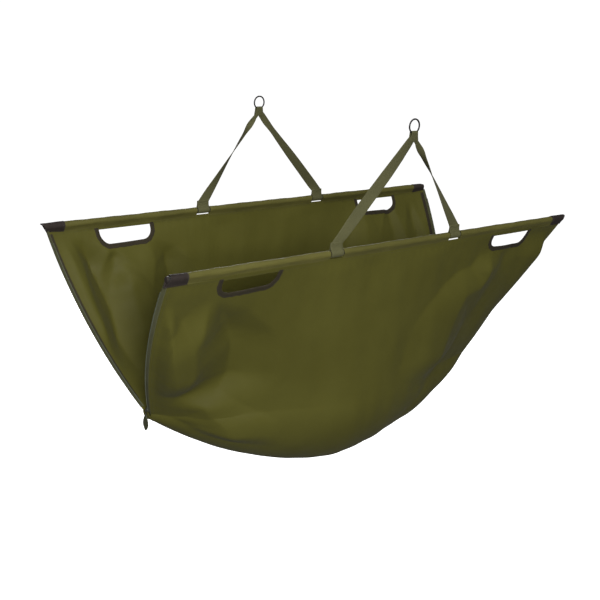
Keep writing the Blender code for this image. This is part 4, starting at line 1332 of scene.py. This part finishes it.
@dataclass
class Bar(SubAssembly):
    """Round tube in the sleeves."""

    sides: int = 48
    chamfer: float = 0.0003

    def make(self, shop: Workshop) -> None:
        """Make the tube with softly broken ends."""
        half, radius, small = LAYOUT.bar_length / 2, LAYOUT.bar_radius, LAYOUT.bar_radius - self.chamfer
        bore = radius - LAYOUT.bar_wall
        profile = [(-half, small), (-half + self.chamfer, radius)]
        profile += [(x, radius) for x in np.linspace(-half * 0.96, half * 0.96, 24)]
        profile += [(half - self.chamfer, radius), (half, small), (half, bore), (-half, bore)]
        circle = circle_points(round_angles(self.sides))
        shape = Shape().loft([LAYOUT.about_bar(x, size * circle) for x, size in profile], closed=True)
        shop.piece(self.word + "_tube", shape, TUBE, self.body, "tube", [self.word + "_bar"], 25.0)


@dataclass
class EndZip(SubAssembly):
    """One side's half of an end zip: tape, teeth and the facing inside the pouch."""

    end: int
    tape_thickness: float = 0.0006
    tape_top: float = 0.436
    tape_lap: float = 0.0035
    cord_radius: float = 0.00075
    cord_place: float = 0.62
    chain_setback: float = 0.0009
    chain_width: float = 0.0028
    chain_thickness: float = 0.0024
    chain_top: float = 0.405
    tooth_pitch: float = 0.0025
    tooth_length: float = 0.0015
    tooth_stations: tuple[tuple[float, float, float], ...] = (
        (0.0, 0.55, 0.62), (0.0003, 0.95, 0.90), (0.0009, 0.72, 0.86), (0.0013, 0.70, 0.95),
        (0.0025, 1.0, 1.0), (0.0028, 0.8, 0.8))
    tooth_corners: Pairs = ((-1, -0.7), (-0.7, -1), (0.7, -1), (1, -0.7), (1, 0.7), (0.7, 1), (-0.7, 1),
                            (-1, 0.7))
    facing_width: float = 0.011
    facing_gap: float = 0.0004
    facing_lift: float = -0.0011
    facing_foot: float = 0.030
    facing_thickness: float = 0.0008

    @property
    def foot(self) -> float:
        """Reach at which the teeth start: in the slider on the side that carries it."""
        carries = self.end < 0
        return ZipPull.rest - ZipPull.length / 4 if carries else LAYOUT.tip_radius + 0.0006

    def line(self, low: float, high: float, away: float, steps: int) -> tuple[Array, ...]:
        """Points along the zip with their frames.

        Args:
            low: Reach of the first point.
            high: Reach of the last point.
            away: Distance from the closing plane.
            steps: Number of points.

        Returns:
            Points, unit vectors away from the closing plane, and unit vectors out of the tape.
        """
        frame = LAYOUT.zip_frame()
        turn = frame.to_3x3()
        reach = np.linspace(low, high, steps)
        points = placed(frame, [(self.end * x, y, away) for x, y in zip(LAYOUT.zip_x(reach), reach)])
        slopes = [LAYOUT.zip_slope(value) for value in reach]
        out = placed(turn, [(self.end * math.cos(slope), math.sin(slope), 0) for slope in slopes])
        return np.array(points), np.array(placed(turn, [(0, 0, 1)] * steps)), np.array(out)

    def tape(self) -> Shape:
        """Make the woven tape with the cord that the teeth sit on."""
        low = LAYOUT.tape_width * math.tan(LAYOUT.zip_angle) + LAYOUT.fit_gap if self.end < 0 else self.foot
        inner, outer = self.chain_setback + self.chain_width * 0.5, LAYOUT.tape_width + self.tape_lap
        points, across, out = self.line(low, self.tape_top, (inner + outer) / 2, 90)
        cord_away = self.chain_setback + self.chain_width * self.cord_place
        cord = self.line(low, self.chain_top, cord_away, 80)[0]
        shape = Shape().ribbon(points, across * (outer - inner) / 2, out, self.tape_thickness)
        return shape.tube(cord, self.cord_radius, sides=8)

    def teeth(self) -> Shape:
        """Make the row of teeth, each with a waist and a head."""
        shape = Shape()
        count = int((self.chain_top - self.foot) / self.tooth_pitch)
        points, across, out = self.line(self.foot, self.chain_top, 0.0, count)
        for place, wide, thick, way in zip(points, across, out, tangents(points)):
            long, high = way * self.tooth_length / 2, thick * self.chain_thickness / 2
            shape.loft([[place + wide * (self.chain_setback + away) + long * a * length + high * b * height
                         for a, b in self.tooth_corners] for away, length, height in self.tooth_stations])
        return shape

    def facing(self) -> Shape:
        """Make the dark tape that covers the seam, on the inner face of the cloth."""
        points = self.line(self.facing_foot, self.tape_top - 0.004, LAYOUT.tape_width - 0.0006, 90)[0]
        height = np.clip(LAYOUT.height_at(points[:, 2]), 0.0, 0.995)
        half = LAYOUT.half_length(height)
        edge, inset = self.end * (1 - self.facing_gap / half), self.end * (1 - self.facing_width / half)
        form = FORMS[self.side]
        one, two = form.place(edge, height, self.facing_lift), form.place(inset, height, self.facing_lift)
        normals = form.outward((edge + inset) / 2, height)
        return Shape().ribbon((one + two) / 2, (one - two) / 2, normals, self.facing_thickness)

    def make(self, shop: Workshop) -> None:
        """Make this half of the zip."""
        name, body = self.name(self.end), self.body
        shop.piece(name + "_tape", self.tape(), ZIP_TAPE, body, "binding", [name + "_zip_tape"])
        shop.piece(name + "_teeth", self.teeth(), TEETH, body, "chain", [name + "_zip_chain"], 30.0)
        shop.piece(name + "_zip_facing", self.facing(), BINDING, body, "binding")


@dataclass
class ZipPull(SubAssembly):
    """Slider at the foot of a zip, with its wire link and moulded pull."""

    rest: float = 0.0075
    length: float = 0.0125
    width: float = 0.0105
    plate: float = 0.001
    plate_waist: float = 0.16
    plate_taper: float = 0.08
    plate_edge: Pairs = ((0.90, 0.0), (0.98, 0.00018), (1.0, 0.0004), (0.985, 0.00075), (0.93, 0.00095),
                         (0.80, 0.001))
    post: float = 0.0012
    lip: float = 0.00115
    lip_taper: float = 0.0010
    room: float = 0.0015
    slot: float = 0.0008
    bridge_length: float = 0.0084
    bridge_height: float = 0.0045
    bridge_band: float = 0.0011
    bridge_width: float = 0.0016
    wire: float = 0.0006
    link_width: float = 0.0084
    link_length: float = 0.0115
    link_foot: float = 0.001
    link_bend: float = 0.0008
    leaf_length: float = 0.0395
    leaf_width: float = 0.0215
    leaf_head: float = 0.0062
    leaf_grip: float = 0.0034
    leaf_thickness: float = 0.0022
    leaf_keys: tuple[float, ...] = (0.0, 0.10, 0.22, 0.42, 0.62, 0.78, 0.90, 0.97, 1.0)
    leaf_widths: tuple[float, ...] = (0.0, 0.0, 0.56, 0.86, 1.0, 0.80, 0.45, 0.18, 0.0)
    leaf_edge: Pairs = ((0.70, 0.62), (0.78, 0.66), (0.84, 1.0), (0.93, 1.0), (0.985, 0.75), (1.0, 0.3))
    ridges: int = 5
    first_ridge: float = 0.40
    ridge_pitch: float = 0.085
    ridge_reach: float = 0.62
    ridge_bow: float = 0.0008
    ridge_radius: float = 0.00045

    def frame(self) -> Matrix:
        """Frame of the parked slider: across the zip, outward, and up along it."""
        angle = LAYOUT.zip_slope(self.rest)
        place = Vector((-float(LAYOUT.zip_x(self.rest)), self.rest, 0))
        outward = Vector((-math.cos(angle), math.sin(angle), 0))
        along = Vector((math.sin(angle), math.cos(angle), 0))
        columns = Matrix((outward.cross(along), outward, along)).transposed().to_4x4()
        return LAYOUT.zip_frame() @ Matrix.Translation(place) @ columns

    def pivot(self) -> Vector:
        """Point under the bridge where the link hangs."""
        height = self.room + self.plate + self.bridge_height - self.bridge_band - self.wire - LAYOUT.fit_gap
        return self.frame() @ Vector((0, height, 0))

    def plan(self) -> Array:
        """Outline of a plate: two shoulders above and a narrower foot."""
        cos, sin = circle_points(round_angles(48)).T
        waist = 1 - self.plate_waist * np.exp(-((sin + 0.1) / 0.4) ** 2)
        taper = 1 - self.plate_taper * (1 - sin)
        return np.stack((self.width / 2 * taper * waist * squared(cos, 0.62), self.length / 2 * sin), -1)

    def slider(self) -> Shape:
        """Make the two plates, the post between them, their lips and the bridge."""
        shape, frame = Shape(), self.frame()
        upright = frame @ Matrix(((1, 0, 0, 0), (0, 0, 1, 0), (0, 1, 0, 0), (0, 0, 0, 1)))
        for face in (1, -1):
            heights = [(scale, face * (self.room + height)) for scale, height in self.plate_edge]
            shape.pillow(self.plan(), heights, upright)
        post = circle_points(round_angles(20)) * (self.post / 2, 0.0022) + (0.0, self.length * 0.22)
        shape.pillow(post, ((1, -self.room - 0.0003), (1, self.room + 0.0003)), upright)
        for edge in ENDS:
            for face in ENDS:
                self.add_lip(shape, frame, edge, face)
        self.add_bridge(shape, frame)
        return shape

    def add_lip(self, shape: Shape, frame: Matrix, edge: int, face: int) -> None:
        """Add one lip that turns in round the chain.

        Args:
            shape: Shape that takes the lip.
            frame: Frame of the slider.
            edge: -1 or 1 across the zip.
            face: -1 or 1 for the inner or outer plate.
        """
        inner, outer = self.width / 2 - self.lip, self.width / 2 - 0.0001
        top, reach = self.room + 0.0004, self.length * 0.40
        rings = []
        for share in np.linspace(-1, 1, 12):
            far = outer - self.lip_taper * abs(share) ** 3
            box = ((inner, self.slot), (far, self.slot), (far, top), (inner, top))
            rings.append(placed(frame, [(edge * x, face * y, share * reach) for x, y in box]))
        shape.loft(rings)

    def add_bridge(self, shape: Shape, frame: Matrix) -> None:
        """Add the bridge that the link runs under."""
        span, foot = (self.bridge_length - self.bridge_band) / 2, self.room + self.plate
        rise = self.bridge_height - self.bridge_band / 2
        band = squared(circle_points(round_angles(12)), 0.6) * (self.bridge_width / 2, self.bridge_band / 2)
        rings = []
        for angle in np.linspace(-0.06, math.pi + 0.06, 30):
            sin, cos = math.sin(angle), math.cos(angle)
            rings.append(placed(frame, [(wide, foot + (rise + thick) * sin, -(span + thick) * cos)
                                        for wide, thick in band]))
        shape.loft(rings)

    def link(self) -> Shape:
        """Make the wire triangle that joins the slider and the pull."""
        half = self.link_width / 2 - self.wire
        foot = self.link_foot - self.link_length + 2 * self.wire
        bend = self.link_bend
        right = circle_points(np.linspace(-0.35, math.pi / 2, 7)) * bend + (half - bend, -bend)
        bottom = circle_points(np.linspace(math.pi + 0.35, TURN - 0.35, 12)) * self.link_foot + (0.0, foot)
        flat = np.concatenate((right, right[::-1] * (-1.0, 1.0), bottom))
        points = np.array(self.pivot()) + np.insert(flat, 0, 0.0, axis=1)
        return Shape().tube(points, self.wire, closed=True)

    def leaf(self) -> Shape:
        """Make the leaf-shaped pull with a raised rim and a ribbed middle."""
        pivot = self.pivot()
        top = -self.link_length + self.wire + self.leaf_grip
        widths = np.array(self.leaf_widths) * self.leaf_width / 2
        widths[1] = self.leaf_head / 2
        shares = (1 - np.cos(np.linspace(0, math.pi, 40))) / 2
        wide = np.interp(shares, self.leaf_keys, widths)
        wide[2:-2] = np.convolve(wide, np.array((1, 4, 6, 4, 1)) / 16, mode="same")[2:-2]
        right = np.stack((wide, top - shares * self.leaf_length), -1)
        outline = np.concatenate((right, right[-2:0:-1] * (-1.0, 1.0)))
        half = self.leaf_thickness / 2
        upper = [(scale, share * half) for scale, share in self.leaf_edge]
        frame = Matrix.Translation(pivot) @ Matrix(((0, 0, 1, 0), (1, 0, 0, 0), (0, 1, 0, 0), (0, 0, 0, 1)))
        shape = Shape().pillow(outline, [(scale, -rise) for scale, rise in upper] + upper[::-1], frame)
        bow = np.linspace(-1, 1, 9)
        for share in self.first_ridge + self.ridge_pitch * np.arange(self.ridges):
            reach = np.interp(share, self.leaf_keys, widths) * self.ridge_reach
            drop = top - self.leaf_length * share - self.ridge_bow * (1 - bow * bow)
            for face in ENDS:
                line = np.stack((np.full(9, face * half * self.leaf_edge[0][1]), reach * bow, drop), -1)
                shape.tube(np.array(pivot) + line, self.ridge_radius, sides=8)
        return shape

    def make(self, shop: Workshop) -> None:
        """Make the slider, link and pull of this side's own zip."""
        word = self.side.word(-1)
        shop.piece(word + "_slider_body", self.slider(), SLIDER_PAINT, word + "_slider", "steel",
                   [word + "_zip_slider"], 50.0)
        shop.piece(word + "_link_wire", self.link(), STEEL, word + "_pull", "steel", [word + "_pull_link"])
        shop.piece(word + "_leaf", self.leaf(), RUBBER, word + "_pull", "pull", [word + "_zip_pull"], 50.0)


def squared(value: Array, power: float) -> Array:
    """Cosines or sines bent so that their circle turns into a rounded square."""
    return np.copysign(np.abs(value) ** power, value)


@dataclass(frozen=True)
class LegTurn:
    """How a leg of webbing turns about itself, and narrows, from its foot to its head."""

    shares: tuple[float, ...]
    degrees: tuple[float, ...]
    widths: tuple[float, ...]
    reach: int = 6

    def at(self, places: Array) -> tuple[Array, Array]:
        """Read the twist, softly joined from place to place.

        Args:
            places: Shares of the leg's length, evenly spaced.

        Returns:
            Turns in radians, and shares of the width.
        """
        window = np.hanning(2 * self.reach + 1)
        found = []
        for keys in (self.degrees, self.widths):
            values = np.interp(places, self.shares, keys)
            padded = np.pad(values, self.reach, mode="reflect", reflect_type="odd")
            found.append(np.convolve(padded, window / window.sum(), mode="valid"))
        return np.radians(found[0]), found[1]


LEG_TURNS = {
    (Side.FRONT, -1): LegTurn((0, 0.10, 0.35, 0.70, 1), (0, -12, -36, -22, 0), (1, 1, 1, 1, 0.92)),
    (Side.REAR, -1): LegTurn((0, 0.10, 0.50, 0.85, 1), (0, -24, -6, 22, 0), (1, 1, 0.94, 0.82, 0.80)),
    (Side.FRONT, 1): LegTurn((0, 0.10, 0.62, 0.86, 1), (0, 8, 50, 92, 180), (1, 1, 0.85, 0.62, 0.5)),
    (Side.REAR, 1): LegTurn((0, 0.10, 0.55, 0.84, 1), (0, 6, 50, 84, 180), (1, 1, 0.85, 0.60, 0.5)),
}


@dataclass
class Bridle(SubAssembly):
    """Webbing loops, legs and ring tab that carry one bar, and its ring."""

    webbing: float = 0.002
    band: float = 0.0018
    loop_x: float = 0.184
    loop_width: float = 0.0332
    loop_radius: float = 0.0073
    loop_neck: Pairs = ((0.0, 0.0175), (0.0003, 0.0125))
    loop_shoulder: tuple[float, float] = (0.0026, 0.0092)
    hinge_rise: float = 0.0255
    bend_below: float = 0.004
    bend_above: float = 0.005
    leg_foot: float = 0.0245
    leg_steps: int = 90
    gather_share: float = 0.12
    slack: float = 0.0007
    apex_rise: float = 0.2165
    head_rise: float = 0.2297
    apex_x: float = 0.0216
    tab_width: float = 0.025
    tab_wall: float = 0.0012
    tongue: float = 0.019
    ring_radius: float = 0.015
    ring_wire: float = 0.0018
    ring_centre: float = 0.256
    ring_hinge: float = 0.242
    weld_rise: float = 0.10
    weld_angle: float = 0.9
    weld_width: float = 0.05
    box_foot: float = 0.0135
    box_inset: float = 0.0025
    box_top: float = 0.003
    tab_rows: tuple[float, ...] = (-0.0032, -0.0008, 0.0016)
    tab_inset: float = 0.0032
    loop_thread: Thread = Thread(0.0026, 0.0033, 0.0003)
    tab_thread: Thread = Thread(0.0022, 0.0028, 0.0003)

    def loop(self, end: int) -> Shape:
        """Make the loop round the bar: one band that goes down, round and up again.

        Args:
            end: -1 or 1, the end of the bar that it hangs on.

        Returns:
            The loop.
        """
        nose = self.leg_foot - LAYOUT.fit_gap - self.webbing
        inside = self.band / 2 + 0.0001
        neck = [(inside, nose - 0.0005), *((inside + out, rise) for out, rise in self.loop_neck),
                self.loop_shoulder]
        round_bar = self.loop_radius * circle_points(np.radians(np.linspace(62, -242, 40)))
        fold = circle_points(np.linspace(0.3, math.pi - 0.3, 6)) * (-inside, inside) + (0.0, nose)
        flat = np.concatenate((neck, round_bar, np.array(neck[::-1]) * (-1.0, 1.0), fold))
        way = tangents(flat, closed=True)
        normals = np.stack((np.zeros(len(flat)), -way[:, 1], way[:, 0]), -1)
        halves = np.tile((self.loop_width / 2, 0.0, 0.0), (len(flat), 1))
        centres = LAYOUT.about_bar(end * self.loop_x, flat)
        return Shape().ribbon(centres, halves, normals, self.band, closed=True)

    def loop_stitches(self, end: int) -> Shape:
        """Sewn box with a cross on the loop's neck, on both faces."""
        shape = Shape()
        low, high = self.box_foot, self.leg_foot - self.box_top
        reach = self.loop_width / 2 - self.box_inset
        left, right = end * self.loop_x - reach, end * self.loop_x + reach
        rows = (((left, low), (right, low)), ((left, high), (right, high)), ((left, low), (left, high)),
                ((right, low), (right, high)), ((left, low), (right, high)), ((left, high), (right, low)))
        for out in ENDS:
            for start, finish in rows:
                self.loop_thread.straight(shape, start, finish, out * (self.band + 0.0002))
        return shape

    def leg_path(self, end: int, lean: float) -> tuple[Vector, Vector, Vector]:
        """Place a leg's centre line.

        Args:
            end: -1 or 1, the end of the bar that it stands at.
            lean: How far its head lies before or behind the bar.

        Returns:
            Its foot, its apex and its head.
        """
        bar = Vector((0, LAYOUT.bar_y, LAYOUT.bar_z))
        foot = bar + Vector((end * self.loop_x, 0, self.leg_foot - 0.005))
        apex = bar + Vector((self.apex_x + end * self.loop_width / 2, lean, self.apex_rise))
        head = bar + Vector((self.apex_x, lean, self.head_rise + 0.004))
        return foot, apex, head

    def leg(self, end: int) -> Shape:
        """Make one leg of webbing, flat at end -1 and with half a twist at end 1.

        Args:
            end: -1 or 1, the end of the bar that it stands at.

        Returns:
            The leg.
        """
        foot, apex, head = self.leg_path(end, end * (self.webbing + LAYOUT.fit_gap) / 2)
        along = (apex - foot).normalized()
        across = Vector((along.z, 0, -along.x))
        half = self.loop_width / 2 * along.z
        shear = -along.x / along.z
        places = np.linspace(0, 1, self.leg_steps)
        turns, widths = LEG_TURNS[self.side, end].at(places)
        centres, halves, normals = [], [], []
        for share, turn, width in zip(places, turns, widths):
            level = 1.0 - float(eased(share / self.gather_share))
            level -= float(eased((share - 1 + self.gather_share) / self.gather_share))
            wide = across * math.cos(turn) + Vector((0, 1, 0)) * math.sin(turn)
            slack = self.slack * math.sin(7 * share + end) * math.sin(math.pi * share)
            centres.append(foot.lerp(apex, share) + Vector((0, slack, 0)))
            halves.append((wide - along * level * shear) * half * width)
            normals.append(along.cross(wide).normalized())
        order = 1 if halves[-1].x > 0 else -1
        first, last = halves[-1], Vector((order * (self.tab_width / 2 - 0.0018) * widths[-1], 0, 0))
        for share in np.linspace(0.2, 1, 6):
            centres.append(apex.lerp(head, share))
            halves.append(first.lerp(last, float(eased(share))))
            normals.append(normals[-1])
        return Shape().ribbon(np.array(centres), np.array(halves), np.array(normals), self.band)

    def tab(self) -> Shape:
        """Make the sewn tab: a band that rolls round the ring's wire, narrower there."""
        roll = self.ring_wire + LAYOUT.fit_gap + 0.0015
        foot = self.head_rise - 0.0052
        depth = self.webbing + self.tab_wall / 2 + 0.0002
        leg = [(depth, foot + step) for step in (0.0, 0.002, 0.005, 0.008)]
        wrap = roll * circle_points(np.radians(np.linspace(-15, 195, 26))) + (0.0, self.ring_hinge)
        flat = np.concatenate((leg, wrap, np.array(leg[::-1]) * (-1.0, 1.0)))
        way = tangents(flat)
        rise = (flat[:, 1] - foot) / (self.ring_hinge - foot)
        half = self.tab_width / 2 - (self.tab_width - self.tongue) / 2 * eased(rise)
        normals = np.stack((np.zeros(len(flat)), way[:, 1], -way[:, 0]), -1)
        halves = half[:, None] * (1.0, 0.0, 0.0)
        return Shape().ribbon(LAYOUT.about_bar(self.apex_x, flat), halves, normals, self.tab_wall)

    def tab_stitches(self) -> Shape:
        """Sewn rows across the tab's foot."""
        shape = Shape()
        reach = self.tab_width / 2 - self.tab_inset
        depth = self.webbing + self.tab_wall + 0.0003
        for out in ENDS:
            for rise in self.tab_rows:
                z = self.head_rise + rise
                self.tab_thread.straight(shape, (self.apex_x - reach, z), (self.apex_x + reach, z),
                                         out * depth)
        return shape

    def ring(self) -> Shape:
        """Make the steel ring with its welded joint."""
        turn = round_angles(96)
        x, z = self.ring_radius * circle_points(turn).T
        points = LAYOUT.about_bar(self.apex_x + x, np.stack((np.zeros(96), self.ring_centre + z), -1))
        weld = 1 + self.weld_rise * np.exp(-(((turn - self.weld_angle) / self.weld_width) ** 2))
        return Shape().tube(points, self.ring_wire, closed=True, sides=20, shrink=weld)

    def make(self, shop: Workshop) -> None:
        """Make the loops, legs, tab and ring of this side."""
        word = self.word
        loops, bridle = word + "_loops", word + "_bridle"
        for end in ENDS:
            name = self.name(end)
            shop.piece(name + "_bar_loop", self.loop(end), WEBBING, loops, "webbing", [name + "_loop"])
            shop.piece(name + "_loop_stitches", self.loop_stitches(end), THREAD, loops, "webbing")
            leg = shop.piece(name + "_leg", self.leg(end), WEBBING, bridle, "webbing", [name + "_strap"],
                             rides=False)
            bend_between(leg)
        shop.piece(word + "_tab", self.tab(), WEBBING, bridle, "webbing", [word + "_ring_tab"])
        shop.piece(word + "_tab_stitches", self.tab_stitches(), THREAD, bridle, "webbing")
        shop.piece(word + "_hook_ring", self.ring(), STEEL, word + "_ring", "steel", [word + "_ring"])


@dataclass
class CornerPatch:
    """Patch that closes the pouch's corner below the foot of a zip, a half cap with a turned rim."""

    end: int
    end_x: float = 0.4858
    band: float = 0.010
    wall: float = 0.0008
    least: float = 0.0003
    lift: float = 0.00215
    open_angle: float = 46.0
    cap: Pairs = ((0.0010, 1.0), (0.0016, 0.85), (0.0018, 0.5), (0.0018, 0.06))

    def radius(self, x: float) -> float:
        """Radius of the patch over the cloth, at a distance from the middle."""
        return float(LAYOUT.spindle(x)) + LAYOUT.lap_gap + self.lift

    def make(self, shop: Workshop) -> None:
        """Make the patch."""
        places = self.end_x - np.linspace(1, 0.05, 7) * self.band
        stations = [(x, self.radius(x), 0.0) for x in places]
        stations += [(self.end_x + past, self.radius(self.end_x) * share, self.wall)
                     for past, share in self.cap]
        arc = circle_points(np.radians(np.linspace(-self.open_angle, self.open_angle - 180, 30)))
        rings = []
        for x, radius, back in stations:
            flat = np.concatenate((radius * arc, max(radius - self.wall, self.least) * arc[::-1]))
            along = self.end * np.repeat((x, x - back), len(arc))
            rings.append(np.column_stack((along, flat)) + (0.0, 0.0, LAYOUT.hinge_z))
        word = "left" if self.end < 0 else "right"
        shop.piece(word + "_corner_cap", Shape().loft(rings), HEM_CLOTH_PAINTED_LIGHTER, "base", "patch",
                   [word + "_corner_patch"])


@dataclass(frozen=True)
class Studio:
    """Camera, lights and floor."""

    lens: float = 58.75
    sensor: float = 36.0
    place: Sequence[float] = (-1.5359, -1.7034, 0.2205)
    right: Sequence[float] = (0.76579, -0.64104, 0.05131)
    up: Sequence[float] = (0.14696, 0.25211, 0.95647)
    ahead: Sequence[float] = (0.62608, 0.72492, -0.28727)
    target: Sequence[float] = (0.0, 0.0, -0.45)
    floor_z: float = -1.45
    floor_half: float = 30.0
    floor_glow: float = 0.95
    floor_bounce: float = 0.20
    backdrop: float = 1.05
    fill: float = 0.10

    def add(self, name: str, data: bpy.types.ID) -> bpy.types.Object:
        """Add an object to the scene."""
        made = bpy.data.objects.new(name, data)
        bpy.context.scene.collection.objects.link(made)
        return made

    def camera(self) -> None:
        """Set the camera where the photograph was taken from."""
        data = bpy.data.cameras.new("camera")
        data.lens = self.lens
        data.sensor_width = self.sensor
        data.clip_end = 100.0
        made = self.add("camera", data)
        turn = Matrix((Vector(self.right), Vector(self.up), -Vector(self.ahead))).transposed().to_4x4()
        made.matrix_world = Matrix.Translation(Vector(self.place)) @ turn
        bpy.context.scene.camera = made

    def light(self, name: str, place: Sequence[float], size: float, watts: float) -> None:
        """Add one soft square light that faces the object.

        Args:
            name: Name of the light.
            place: Where it stands.
            size: Length of its side.
            watts: Its power.
        """
        data = bpy.data.lights.new(name, "AREA")
        data.size = size
        data.energy = watts
        made = self.add(name, data)
        made.location = place
        made.rotation_euler = (Vector(self.target) - Vector(place)).to_track_quat("-Z", "Y").to_euler()

    def floor(self) -> None:
        """Lay a plain pale floor."""
        half, z = self.floor_half, self.floor_z
        shape = Shape().add(((-half, -half, z), (half, -half, z), (half, half, z), (-half, half, z)),
                            [(0, 1, 2, 3)])
        made = self.add("floor", shape.mesh("floor"))
        paint = bpy.data.materials.new("pale floor")
        paint.use_nodes = True
        bench = Bench(paint.node_tree)
        shader = paint.node_tree.nodes["Principled BSDF"]
        bench.fill(shader, {"Base Color": (0.95, 0.95, 0.95, 1.0), "Roughness": 0.9,
                            "Emission Color": (1.0, 1.0, 1.0, 1.0), "Emission Strength": self.floor_glow})
        bounce = (*[self.floor_bounce] * 3, 1.0)
        dim = bench.add("ShaderNodeBsdfDiffuse", {"Color": bounce})
        ray = bench.add("ShaderNodeLightPath").outputs["Is Camera Ray"]
        both = bench.add("ShaderNodeMixShader", {0: ray, 1: dim.outputs[0], 2: shader.outputs[0]})
        bench.fill(paint.node_tree.nodes["Material Output"], {"Surface": both.outputs[0]})
        made.data.materials.append(paint)

    def world(self) -> None:
        """Give a white backdrop to the camera and a softer light to the object."""
        world = bpy.data.worlds.new("studio")
        bpy.context.scene.world = world
        world.use_nodes = True
        world.node_tree.nodes.clear()
        bench = Bench(world.node_tree)
        seen, fill = (bench.add("ShaderNodeBackground", {"Color": (1, 1, 1, 1), "Strength": strength})
                      for strength in (self.backdrop, self.fill))
        ray = bench.add("ShaderNodeLightPath").outputs["Is Camera Ray"]
        both = bench.add("ShaderNodeMixShader", {0: ray, 1: fill.outputs[0], 2: seen.outputs[0]})
        bench.add("ShaderNodeOutputWorld", {0: both.outputs[0]})

    def make(self) -> None:
        """Set up the camera, the lights, the floor and the backdrop."""
        self.camera()
        self.light("key", (-1.85, -2.76, 0.66), 0.8, 102.0)
        self.light("side", (1.8, 3.1, 0.2), 2.0, 80.0)
        self.light("top", (0.3, -1.1, 2.8), 1.8, 34.0)
        self.floor()
        self.world()
        bpy.context.scene.view_settings.view_transform = "Standard"


def main() -> None:
    """Set up the studio and dress every part of the sling."""
    logging.basicConfig(level=logging.INFO, format="%(message)s")
    Studio().make()
    effects = Effects()
    for side in Side:
        shop = Workshop(effects, side)
        for part in (ClothSide(side), Sleeves(side), Bar(side), *(EndZip(side, end) for end in ENDS),
                     ZipPull(side), Bridle(side)):
            part.make(shop)
    for end in ENDS:
        CornerPatch(end).make(Workshop(effects))


if __name__ == "__main__":
    main()
